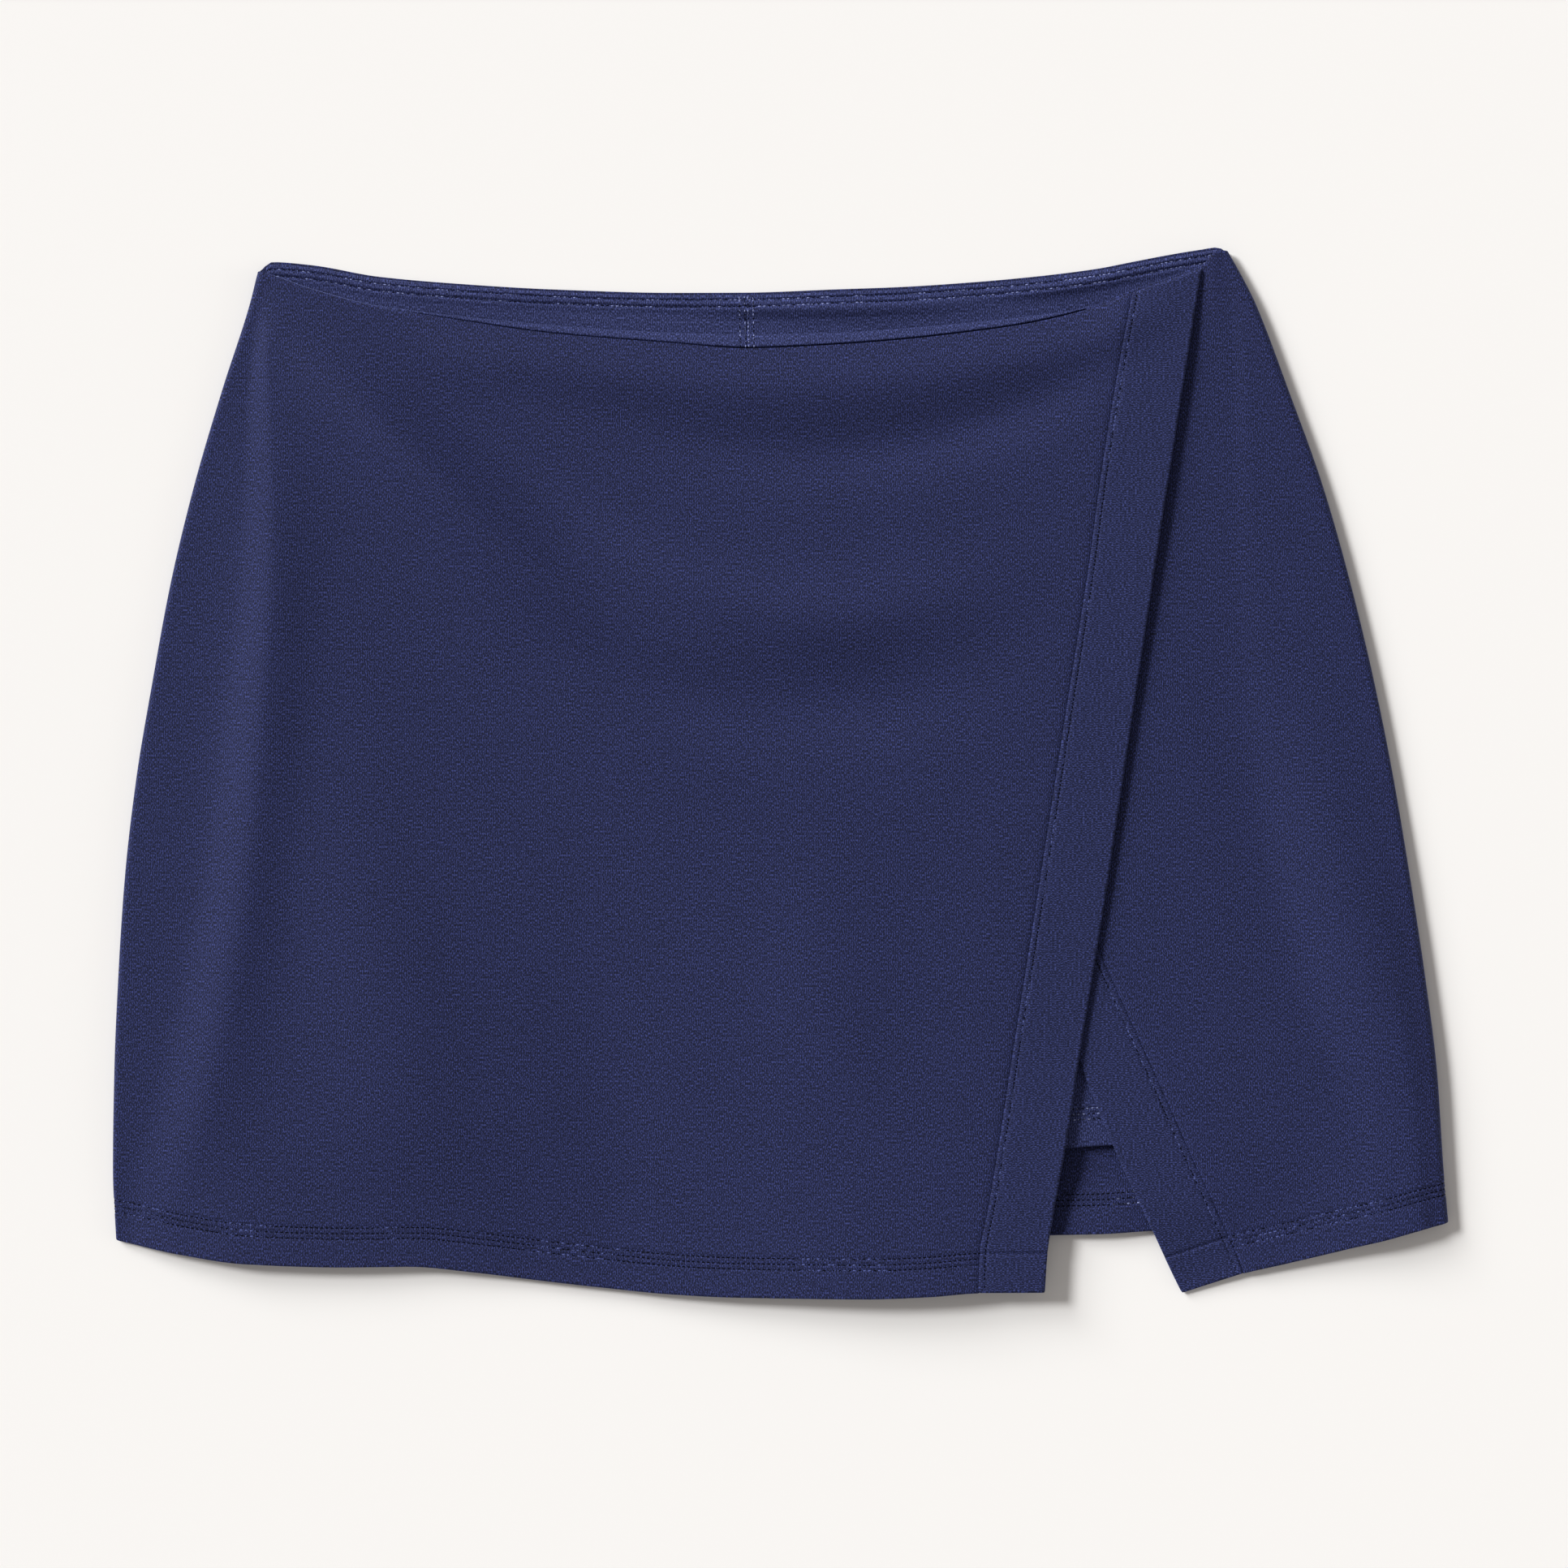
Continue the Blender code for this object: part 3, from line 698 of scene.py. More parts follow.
@dataclass
class Drape:
    """One piece of cloth as a grid of points on its outer face.

    Row 0 is at the waist and column 0 at the photograph's left.
    """

    points: Array
    wall: float
    faces_down: bool = False
    extra: Array | float = 0.0

    def normals(self) -> Array:
        """Unit normals of the outer face, from the grid's two directions."""
        across = np.gradient(self.points, axis=1)
        down = np.gradient(self.points, axis=0)
        normal = np.cross(down, across)
        normal /= np.linalg.norm(normal, axis=2, keepdims=True)
        return -normal if self.faces_down else normal

    def thickness(self) -> Array:
        """Thickness of the cloth at each point, turn-ups and ridges included."""
        return np.zeros(self.points.shape[:2]) + self.wall + self.extra

    def from_edge(self, side: Side) -> Array:
        """Distance of each point from an edge, measured along its grid line.

        Args:
            side: the edge.

        Returns:
            The distances, as the sums of the steps between points.
        """
        axis = 0 if side in (Side.TOP, Side.BOTTOM) else 1
        steps = np.linalg.norm(np.diff(self.points, axis=axis), axis=2)
        if side in (Side.BOTTOM, Side.RIGHT):
            steps = np.flip(steps, axis=axis)
        total = np.cumsum(steps, axis=axis)
        zero = np.zeros_like(np.take(total, [0], axis=axis))
        total = np.concatenate((zero, total), axis=axis)
        return np.flip(total, axis=axis) if side in (Side.BOTTOM, Side.RIGHT) else total

    def tuck(self, side: Side, amount: float, reach: float = 3.0) -> None:
        """Draws the points near an edge inwards, so that a rim fits outside.

        Args:
            side: the edge.
            amount: how far the edge itself moves.
            reach: distance from the edge at which nothing moves.
        """
        axis = 0 if side in (Side.TOP, Side.BOTTOM) else 1
        inwards = np.gradient(self.points, axis=axis)
        if side in (Side.BOTTOM, Side.RIGHT):
            inwards = -inwards
        inwards /= np.linalg.norm(inwards, axis=2, keepdims=True)
        share = np.clip(1.0 - self.from_edge(side) / reach, 0.0, 1.0)
        self.points = self.points + amount * share[..., None] * inwards

    def press(self, depth: Array) -> None:
        """Moves the outer face in along its normals by a depth at each point."""
        self.points = self.points - depth[..., None] * self.normals()

    def line(self, side: Side, distance: float, inner: bool = False) -> tuple[Array, Array]:
        """Line on the cloth at an even distance from an edge.

        Args:
            side: the edge.
            distance: in millimetres along the cloth.
            inner: whether it lies on the inner face.

        Returns:
            The line's points and the cloth's normals there.
        """
        away = self.from_edge(side)
        normal = self.normals()
        points = self.points
        if inner:
            points = points - self.thickness()[..., None] * normal
            normal = -normal
        if side in (Side.TOP, Side.BOTTOM):
            away, points, normal = away.T, points.swapaxes(0, 1), normal.swapaxes(0, 1)
        inside = away >= distance
        count = points.shape[1]
        if side in (Side.BOTTOM, Side.RIGHT):
            low = np.clip(count - 1 - np.argmax(inside[:, ::-1], axis=1), 0, count - 2)
            high = low + 1
        else:
            high = np.clip(np.argmax(inside, axis=1), 1, count - 1)
            low = high - 1
        rows = np.arange(points.shape[0])
        start, end = away[rows, low], away[rows, high]
        share = ((distance - start) / (end - start))[:, None]
        place = points[rows, low] * (1.0 - share) + points[rows, high] * share
        facing = normal[rows, low] * (1.0 - share) + normal[rows, high] * share
        return place, facing / np.linalg.norm(facing, axis=1, keepdims=True)


def rim_loop(rows: int, columns: int) -> tuple[Array, Array]:
    """Indices of a grid's border points in order round it.

    Args:
        rows, columns: number of points each way.

    Returns:
        The border's indices, and for each the index of its inner neighbour.
    """
    top = [(0, c) for c in range(columns)]
    right = [(r, columns - 1) for r in range(1, rows)]
    bottom = [(rows - 1, c) for c in range(columns - 2, -1, -1)]
    left = [(r, 0) for r in range(rows - 2, 0, -1)]
    loop = np.array(top + right + bottom + left)
    inner = np.clip(loop, 1, [rows - 2, columns - 2])
    return loop @ [columns, 1], inner @ [columns, 1]


def shell_mesh(name: str, drape: Drape, cloth_turned: bool) -> bpy.types.Mesh:
    """Closed shell of a piece of cloth, with a rounded rim and a cloth map.

    The inner face is the outer one moved in along its normals by the wall.
    The rim is a half round of that width: at angle a from the outer face its
    points lie at the wall's middle + half a wall * (cos a * normal + sin a *
    outwards). The map gives each point's place along the knit in metres.

    Args:
        name: the mesh's name.
        drape: the outer face.
        cloth_turned: whether the knit's wales run across the piece.

    Returns:
        The mesh, in metres.
    """
    rows, columns = drape.points.shape[:2]
    normal = drape.normals().reshape(-1, 3)
    outer = drape.points.reshape(-1, 3)
    wall = drape.thickness().reshape(-1, 1)
    inner = outer - wall * normal
    loop, neighbour = rim_loop(rows, columns)
    outwards = outer[loop] - outer[neighbour]
    outwards -= (outwards * normal[loop]).sum(axis=1, keepdims=True) * normal[loop]
    outwards /= np.linalg.norm(outwards, axis=1, keepdims=True)
    half = wall[loop] / 2.0
    middle = outer[loop] - half * normal[loop]
    angles = np.pi * np.arange(1, RIM_STEPS + 1) / (RIM_STEPS + 1)
    rings = [
        middle + half * (math.cos(angle) * normal[loop] + math.sin(angle) * outwards)
        for angle in angles
    ]
    points = np.concatenate([outer, inner, *rings])

    count = rows * columns
    grid = np.arange(count).reshape(rows, columns)
    a, b, c, d = grid[:-1, :-1], grid[:-1, 1:], grid[1:, 1:], grid[1:, :-1]
    face = np.stack((a, d, c, b), axis=-1).reshape(-1, 4)
    size = len(loop)
    between = [2 * count + k * size + np.arange(size) for k in range(RIM_STEPS)]
    chain = [loop, *between, loop + count]
    strips = [
        np.stack((near, np.roll(near, -1), np.roll(far, -1), far), axis=-1)
        for near, far in zip(chain, chain[1:])
    ]
    quads = np.concatenate([face, face[:, ::-1] + count, *strips])
    if drape.faces_down:
        quads = quads[:, ::-1]

    place = cloth_map(drape.points, cloth_turned)
    spots = np.concatenate([place, place, *[place[loop]] * RIM_STEPS])
    return mesh_from(name, points, quads.ravel(), np.full(len(quads), 4), spots)


def cloth_map(points: Array, turned: bool) -> Array:
    """Place of each point along the knit: across it is the middle column's x
    plus the distance along the row, and along it is y.

    Args:
        points: grid of the outer face.
        turned: swaps the two, for a band cut across the knit.

    Returns:
        Two numbers for each point, in metres.
    """
    middle = points.shape[1] // 2
    steps = np.linalg.norm(np.diff(points, axis=1), axis=2)
    total = np.concatenate((np.zeros((points.shape[0], 1)), np.cumsum(steps, axis=1)), axis=1)
    across = total - total[:, middle : middle + 1] + points[:, middle : middle + 1, 0]
    along = points[..., 1]
    pair = (along, across) if turned else (across, along)
    return np.stack(pair, axis=-1).reshape(-1, 2) * MM


def mesh_from(
    name: str, points: Array, corners: Array, sizes: Array, spots: Array | None = None
) -> bpy.types.Mesh:
    """Makes a smooth-shaded mesh from whole arrays.

    Args:
        name: the mesh's name.
        points: places in millimetres.
        corners: point index of each face corner, face after face.
        sizes: number of corners of each face.
        spots: the cloth map's two numbers for each point, if it has one.

    Returns:
        The mesh, in metres.
    """
    mesh = bpy.data.meshes.new(name)
    mesh.vertices.add(len(points))
    mesh.vertices.foreach_set("co", (points * MM).astype(np.float32).ravel())
    mesh.loops.add(len(corners))
    mesh.loops.foreach_set("vertex_index", corners.astype(np.int32))
    mesh.polygons.add(len(sizes))
    starts = np.concatenate(([0], np.cumsum(sizes)[:-1]))
    mesh.polygons.foreach_set("loop_start", starts.astype(np.int32))
    mesh.polygons.foreach_set("use_smooth", np.ones(len(sizes), bool))
    if spots is not None:
        layer = mesh.uv_layers.new(name="cloth")
        layer.uv.foreach_set("vector", spots[corners].astype(np.float32).ravel())
    mesh.update(calc_edges=True)
    mesh.validate()
    return mesh


# Thread -------------------------------------------------------------------------


@dataclass(frozen=True)
class Stitch:
    """One visible length of sewing thread, in millimetres."""

    pitch: float
    length: float
    width: float
    height: float
    sink: float = 0.02
    across: bool = False  # lies across its row


TOPSTITCH = Stitch(pitch=1.9, length=1.4, width=0.85, height=0.36)
COVERSTITCH = Stitch(pitch=2.32, length=1.6, width=0.8, height=0.4)
CHAINSTITCH = Stitch(pitch=2.25, length=1.5, width=0.75, height=0.42)
FLATLOCK = Stitch(pitch=1.9, length=1.4, width=0.6, height=0.44)
RIB = Stitch(pitch=1.26, length=5.6, width=0.8, height=0.62, sink=0.12, across=True)


@dataclass(frozen=True)
class Row:
    """One row of stitches: its edge, distance from it, kind, face and stretch."""

    side: Side
    distance: float
    stitch: Stitch
    inner: bool = False
    start: float = 0.0
    stop: float = math.inf


SPINDLE_SIDES = 6
SPINDLE_RINGS = ((-0.36, 0.68), (0.0, 1.0), (0.36, 0.68))  # place along it, width
LAST_STITCH = 0.3  # a row ends this many steps before its line
AIM = 0.4  # steps before and after a stitch between which it is aimed


def spindle() -> tuple[Array, Array, Array]:
    """Short rounded thread of unit size along x: three hexagons and two tips.

    Returns:
        Its points, the face corners and the face sizes.
    """
    angle = 2.0 * np.pi * np.arange(SPINDLE_SIDES) / SPINDLE_SIDES
    points = [(-0.5, 0.0, 0.0)]
    for x, size in SPINDLE_RINGS:
        points += [(x, size * math.cos(a) / 2, size * math.sin(a) / 2) for a in angle]
    points.append((0.5, 0.0, 0.0))
    first = [1 + k * SPINDLE_SIDES for k in range(len(SPINDLE_RINGS))]
    corners: list[int] = []
    sizes: list[int] = []
    for k in range(SPINDLE_SIDES):
        n = (k + 1) % SPINDLE_SIDES
        corners += [0, first[0] + n, first[0] + k]
        sizes.append(3)
        for start, end in zip(first, first[1:]):
            corners += [start + k, start + n, end + n, end + k]
            sizes.append(4)
        corners += [first[-1] + k, first[-1] + n, len(points) - 1]
        sizes.append(3)
    return np.array(points), np.array(corners), np.array(sizes)


def even_places(line: Array, normal: Array, row: Row) -> tuple[Array, Array, Array]:
    """Places of a row's stitches at even steps along its line.

    Args:
        line: the line's points.
        normal: the cloth's normals there.
        row: the row, which gives the step and the stretch of the line.

    Returns:
        Places, directions along the line and normals.
    """
    pitch = row.stitch.pitch
    steps = np.linalg.norm(np.diff(line, axis=0), axis=1)
    length = np.concatenate(([0.0], np.cumsum(steps)))
    last = min(length[-1] - LAST_STITCH * pitch, row.stop)
    at = np.arange(row.start + 0.5 * pitch, last, pitch)

    def read(values: Array, where: Array) -> Array:
        """Values along the line at the given distances."""
        return np.stack([np.interp(where, length, values[:, k]) for k in range(3)], axis=1)

    place = read(line, at)
    ahead = read(line, at + AIM * pitch) - read(line, at - AIM * pitch)
    ahead /= np.linalg.norm(ahead, axis=1, keepdims=True)
    facing = read(normal, at)
    facing -= (facing * ahead).sum(axis=1, keepdims=True) * ahead
    facing /= np.linalg.norm(facing, axis=1, keepdims=True)
    return place, ahead, facing


def thread_mesh(name: str, drape: Drape, plan: Iterable[Row]) -> bpy.types.Mesh:
    """Joins every stitch of some rows into one mesh, from arrays.

    Each stitch is the unit spindle carried to its place by three axes: along
    the seam, across it, and the cloth's normal.

    Args:
        name: the mesh's name.
        drape: the cloth that is sewn.
        plan: its rows of stitches.

    Returns:
        The mesh, in metres.
    """
    template, corners, sizes = spindle()
    parts = []
    for row in plan:
        stitch = row.stitch
        line, normal = drape.line(row.side, row.distance, row.inner)
        place, ahead, facing = even_places(line, normal, row)
        aside = np.cross(facing, ahead)
        if stitch.across:
            ahead, aside = aside, -ahead
        size = np.array((stitch.length, stitch.width, stitch.height))
        body = template * size
        moved = (
            body[None, :, 0:1] * ahead[:, None, :]
            + body[None, :, 1:2] * aside[:, None, :]
            + body[None, :, 2:3] * facing[:, None, :]
        )
        parts.append(place[:, None, :] - stitch.sink * facing[:, None, :] + moved)
    stitches = np.concatenate(parts)
    count = len(stitches)
    offsets = np.repeat(np.arange(count) * len(template), len(corners))
    joined = np.tile(corners, count) + offsets
    return mesh_from(name, stitches.reshape(-1, 3), joined, np.tile(sizes, count))


# Finishes -----------------------------------------------------------------------


def linear(code: str) -> tuple[float, float, float, float]:
    """Linear colour of an sRGB hex code.

    Args:
        code: a hash sign and six hex digits.

    Returns:
        Red, green and blue, from 0 to 1, and a full alpha.
    """
    parts = [int(code[k : k + 2], 16) / 255 for k in (1, 3, 5)]
    values = [p / 12.92 if p <= 0.04045 else ((p + 0.055) / 1.055) ** 2.4 for p in parts]
    return (*values, 1.0)


def add_node(
    tree: bpy.types.NodeTree,
    kind: str,
    settings: dict[str, object] | None = None,
    **links: bpy.types.NodeSocket,
) -> bpy.types.Node:
    """Adds a node, sets it up and links its inputs.

    Args:
        tree: the material's nodes.
        kind: the node's type.
        settings: properties by name, or input values by the input's name or
            number.
        links: output sockets by the input's name, with _ for a space, or by
            i and its number.

    Returns:
        The node.
    """
    node = tree.nodes.new(kind)
    for key, value in (settings or {}).items():
        if key in node.inputs:
            node.inputs[key].default_value = value
        elif key.isdigit():
            node.inputs[int(key)].default_value = value
        else:
            setattr(node, key, value)
    for key, socket in links.items():
        target = int(key[1:]) if key[1:].isdigit() and key[0] == "i" else key.replace("_", " ")
        tree.links.new(socket, node.inputs[target])
    return node


def blank_material(name: str) -> tuple[bpy.types.Material, Callable[..., bpy.types.Node]]:
    """Starts a material.

    Args:
        name: its name.

    Returns:
        The material, without nodes, and the function that adds nodes to it.
    """
    material = bpy.data.materials.new(name)
    material.use_nodes = True
    material.node_tree.nodes.clear()
    return material, partial(add_node, material.node_tree)


@dataclass(frozen=True)
class DoubleKnit:
    """Brushed-smooth double knit of polyester and elastane, dyed navy.

    The eye sees fine upright wales, with painted shade in the grooves between
    them, tiny dark flecks of painted shade and paler flecks of painted highlight
    where loops catch the light, a soft bloom towards grazing edges and hardly any
    gloss. Lengths are in millimetres. The real wales, about 0.5 mm apart, are too
    fine for the render, so they are drawn twice as coarse.
    """

    name: str
    shade: str
    # colour of the dye's slow mottle, and of the painted highlight on loops
    mottle_and_highlight: str
    # painted shade: colour laid into the grooves between wales and between loops, where shade
    # falls
    painted_shade_colour: str
    wale: float = 1.08  # from wale to wale
    bend: float = 0.6  # how far the wales bend to a side
    bend_length: float = 35.7
    fleck_across: float = 0.38
    fleck_along: float = 1.0
    mottle_length: float = 33.3  # slow mottle of the dye
    mottle: float = 0.03  # its share of the mottle-and-highlight colour
    painted_groove_shade: float = 0.42  # share of painted shade in the grooves between wales
    loop_height: float = 0.8  # of a fleck, in wales
    relief: float = 0.1
    roughness: float = 0.8
    sheen: float = 0.95
    sheen_tint: str = "#838EC8"

    def build(self) -> bpy.types.Material:
        """Builds the material on the piece's cloth map."""
        material, add = blank_material(self.name)
        spot = add("ShaderNodeUVMap", {"uv_map": "cloth"}).outputs["UV"]
        # Wales: a soft sine across the knit, bent a little by slow noise.
        wobble = add(
            "ShaderNodeTexNoise",
            {"Scale": 1 / (self.bend_length * MM), "Detail": 1.0},
            Vector=spot,
        )
        wander = add(
            "ShaderNodeVectorMath",
            {"operation": "MULTIPLY_ADD", "1": (self.bend * MM, 0.0, 0.0)},
            i0=wobble.outputs["Color"],
            i2=spot,
        )
        # A wave texture's scale is its turns in 20 / (2 pi) units.
        turns = 2 * math.pi / 20 / (self.wale * MM)
        wales = add(
            "ShaderNodeTexWave",
            {"wave_type": "BANDS", "bands_direction": "X", "Scale": turns, "Distortion": 0.0},
            Vector=wander.outputs["Vector"],
        )
        # Flecks: noise squeezed across the knit, so that each is a short dash.
        dash = 1 / (self.fleck_across * MM), 1 / (self.fleck_along * MM), 1.0
        squeezed = add("ShaderNodeMapping", {"Scale": dash}, Vector=spot)
        flecks = add(
            "ShaderNodeTexNoise",
            {"Scale": 1.0, "Detail": 0.0},
            Vector=squeezed.outputs["Vector"],
        )
        mottle = add(
            "ShaderNodeTexNoise",
            {"Scale": 1 / (self.mottle_length * MM), "Detail": 3.0, "Roughness": 0.6},
            Vector=spot,
        )
        # Colours laid over the shade: the pattern, its value where the colour
        # starts and where it is full, the colour's greatest share, the colour.
        # The first two paint shade into the grooves between wales and between
        # loops, the third is the dye's slow mottle and the last paints highlights
        # on loops.
        washes = (
            (wales, 0.5, 0.0, self.painted_groove_shade, self.painted_shade_colour),
            (flecks, 0.48, 0.28, 1.0, self.painted_shade_colour),
            (mottle, 0.35, 0.65, self.mottle, self.mottle_and_highlight),
            (flecks, 0.5, 0.7, 1.0, self.mottle_and_highlight),
        )
        under: dict[str, bpy.types.NodeSocket] = {}
        for pattern, start, full, most, colour in washes:
            share = add(
                "ShaderNodeMapRange",
                {"From Min": start, "From Max": full, "To Max": most},
                Value=pattern.outputs["Fac"],
            )
            wash = add(
                "ShaderNodeMix",
                {"data_type": "RGBA", "6": linear(self.shade), "7": linear(colour)},
                Factor=share.outputs["Result"],
                **under,
            )
            under = {"i6": wash.outputs[2]}
        loops = add(
            "ShaderNodeMath",
            {"operation": "MULTIPLY_ADD", "1": self.loop_height},
            i0=flecks.outputs["Fac"],
            i2=wales.outputs["Fac"],
        )
        bump = add(
            "ShaderNodeBump",
            {"Strength": 0.6, "Distance": self.relief * MM},
            Height=loops.outputs["Value"],
        )
        shader = add(
            "ShaderNodeBsdfPrincipled",
            {
                "Roughness": self.roughness,
                "Metallic": 0.0,
                "IOR": 1.5,
                "Specular IOR Level": 0.25,
                "Sheen Weight": self.sheen,
                "Sheen Roughness": 0.3,
                "Sheen Tint": linear(self.sheen_tint),
            },
            Base_Color=under["i6"],
            Normal=bump.outputs["Normal"],
        )
        add("ShaderNodeOutputMaterial", Surface=shader.outputs["BSDF"])
        return material


@dataclass(frozen=True)
class SewingThread:
    """Textured polyester thread, dyed to match.

    Its colour is painted near-black as the shade of its own holes, and here
    and there a run of stitches gets a painted highlight. Lengths are in millimetres.
    """

    name: str
    # shade: thread colour painted near-black for the shade in its holes
    shade: str
    painted_highlight: str
    rarely: float = 0.44  # how rarely a run gets the painted highlight
    run: float = 29.4  # length of a run
    single: float = 2.0  # a stitch and its gap, of which some get the painted highlight
    twist: float = 0.303
    relief: float = 0.05
    roughness: float = 0.8

    def build(self) -> bpy.types.Material:
        """Builds the material, with the thread's twist as fine bump."""
        material, add = blank_material(self.name)
        spot = add("ShaderNodeTexCoord").outputs["Object"]
        twist, runs, single = (
            add(
                "ShaderNodeTexNoise", {"Scale": 1 / (length * MM), "Detail": detail}, Vector=spot
            ).outputs["Fac"]
            for length, detail in ((self.twist, 1.0), (self.run, 1.0), (self.single, 0.0))
        )
        bump = add("ShaderNodeBump", {"Strength": 0.4, "Distance": self.relief * MM}, Height=twist)
        # A stitch gets the painted highlight where both noises are high: its run's and its own.
        run_share, single_share = (
            add("ShaderNodeMapRange", {"From Min": start, "From Max": full}, Value=noise)
            for noise, start, full in (
                (runs, self.rarely, self.rarely + 0.1),
                (single, 0.48, 0.6),
            )
        )
        painted_glint = add(
            "ShaderNodeMath",
            {"operation": "MULTIPLY"},
            i0=run_share.outputs["Result"],
            i1=single_share.outputs["Result"],
        )
        colour = add(
            "ShaderNodeMix",
            {"data_type": "RGBA", "6": linear(self.shade), "7": linear(self.painted_highlight)},
            Factor=painted_glint.outputs["Value"],
        )
        shader = add(
            "ShaderNodeBsdfPrincipled",
            {"Roughness": self.roughness, "IOR": 1.5, "Specular IOR Level": 0.06},
            Base_Color=colour.outputs[2],
            Normal=bump.outputs["Normal"],
        )
        add("ShaderNodeOutputMaterial", Surface=shader.outputs["BSDF"])
        return material


@dataclass(frozen=True)
class Laminate:
    """Matt white laminate, pressed smooth: an even pale ground without gloss."""

    name: str = "white_laminate"
    colour: str = "#F2F1EF"
    roughness: float = 0.7

    def build(self) -> bpy.types.Material:
        """Builds the material of the table."""
        material, add = blank_material(self.name)
        settings = {
            "Base Color": linear(self.colour),
            "Roughness": self.roughness,
            "Specular IOR Level": 0.1,
        }
        shader = add("ShaderNodeBsdfPrincipled", settings)
        add("ShaderNodeOutputMaterial", Surface=shader.outputs["BSDF"])
        return material


# Knit colours: base, dye mottle with painted highlight, painted shade
SHELL_KNIT = DoubleKnit("double_knit_shell", "#141A3D", "#374079", "#0A0E26")
BAND_KNIT = DoubleKnit("double_knit_band", "#171D41", "#384178", "#0D122C")
SHORTS_KNIT = DoubleKnit("double_knit_shorts", "#1F264E", "#464F87", "#121735")
# Thread colours: painted near-black shade, then painted highlight
SEAM_THREAD = SewingThread("polyester_thread", "#05060F", "#525C92")
SOFT_THREAD = SewingThread("soft_looper_thread", "#070915", "#8790BE", rarely=0.36)


@dataclass
class Finishes:
    """The garment's materials, built once."""

    shell: bpy.types.Material = field(default_factory=SHELL_KNIT.build)
    band: bpy.types.Material = field(default_factory=BAND_KNIT.build)
    shorts: bpy.types.Material = field(default_factory=SHORTS_KNIT.build)
    thread: bpy.types.Material = field(default_factory=SEAM_THREAD.build)
    inner_thread: bpy.types.Material = field(default_factory=SOFT_THREAD.build)


# Pieces -------------------------------------------------------------------------


def show(mesh: bpy.types.Mesh, material: bpy.types.Material) -> bpy.types.Object:
    """Puts a mesh into the scene at the origin, riding on the garment's body.

    Args:
        mesh: the piece's mesh, whose name it takes.
        material: its finish.

    Returns:
        The piece.
    """
    piece = bpy.data.objects.new(mesh.name, mesh)
    bpy.context.scene.collection.objects.link(piece)
    mesh.materials.append(material)
    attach(piece, "root")
    LOG.info("%s: %d faces", piece.name, len(mesh.polygons))
    return piece


@dataclass(frozen=True)
class RowSpacing:
    """How a panel's grid rows lie down it, close together at both ends."""

    rows: int
    length: float  # mm
    waist: float  # mm from the waist that the close rows take
    waist_rows: int
    hem_rows: int = 40
    hem: float = 22.0  # mm

    def grid(self, last: int) -> tuple[Array, Array]:
        """Lays out a grid.

        Args:
            last: number of the last grid line across.

        Returns:
            Each point's line across, and its share of the way down.
        """
        row, index = np.mgrid[0 : self.rows + 1, 0 : last + 1].astype(float)
        down = spread(
            row,
            (0, 0.0),
            (self.waist_rows, self.waist / self.length),
            (self.rows - self.hem_rows, 1.0 - self.hem / self.length),
            (self.rows, 1.0),
        )
        return index, down


@dataclass
class SideFold:
    """Rounded fold at a side of the skirt, and how many grid lines it takes."""

    rows: Table
    round_lines: int = 10
    flank_lines: int = 12
    slope_lines: int = 16
    seam_lines: int = 8
    seam_width: float = 6.0  # mm that the seam's lines take
    least_flank: float = 1.0  # mm

    @property
    def folded(self) -> int:
        """First grid line past the quarter round."""
        return self.round_lines + 1

    def turn(self, index: Array, fold: Array) -> tuple[Array, Array]:
        """Quarter round from the seam: distance in from the outline is
        r * (1 - cos t), and height over the fold's middle is r * sin t.

        Args:
            index: grid lines, counted from the outline.
            fold: height of the folded side.

        Returns:
            Distance in and height over the middle.
        """
        arc = fold / 2 - LAYERS.fold_flat
        angle = 0.5 * math.pi * np.clip((index - 1.0) / self.round_lines, 0.0, 1.0)
        rise = np.where(index < 1.0, LAYERS.gap / 2, LAYERS.fold_flat + arc * np.sin(angle))
        return arc * (1.0 - np.cos(angle)), rise

    def lines(
        self, index: Array, last: int, y: Array, width: Array
    ) -> tuple[Array, Array, Array]:
        """Grid lines from the outline inwards: the fold, the flank, the slope
        over the shorts' edge, the rest evenly, and a few close to the seam.

        Args:
            index: grid lines, counted from the outline.
            last: the last line.
            y: place of each row at the outline.
            width: the panel's width there.

        Returns:
            Distance in, height over the fold's middle, and the fold's height.
        """
        fold = column(self.rows, "fold", y)
        slope = column(self.rows, "slope", y)
        arc = fold / 2 - LAYERS.fold_flat
        flank = np.abs(column(self.rows, "shorts", y) - column(self.rows, "edge", y))
        flank = flank - LAYERS.slope_outside * slope
        flank = np.maximum(flank, arc + self.least_flank) - arc
        inward, rise = self.turn(index, fold)
        level = self.folded + self.flank_lines
        evenly = spread(
            index,
            (self.folded, 0.0 * width),
            (level, flank),
            (level + self.slope_lines, flank + slope),
            (last - self.seam_lines, width - arc - self.seam_width),
            (last, width - arc),
        )
        return inward + evenly, rise, fold


# Rows of stitches, in mm from the edge that they follow.
HEM_ROWS = (12.6, 15.2, 17.9)
WAIST_ROWS = (1.7, 4.9)
CENTRE_ROWS = (0.3, 2.7)
OVER_BAND_ROW = 2.2
UNDER_BAND_ROW = 2.6


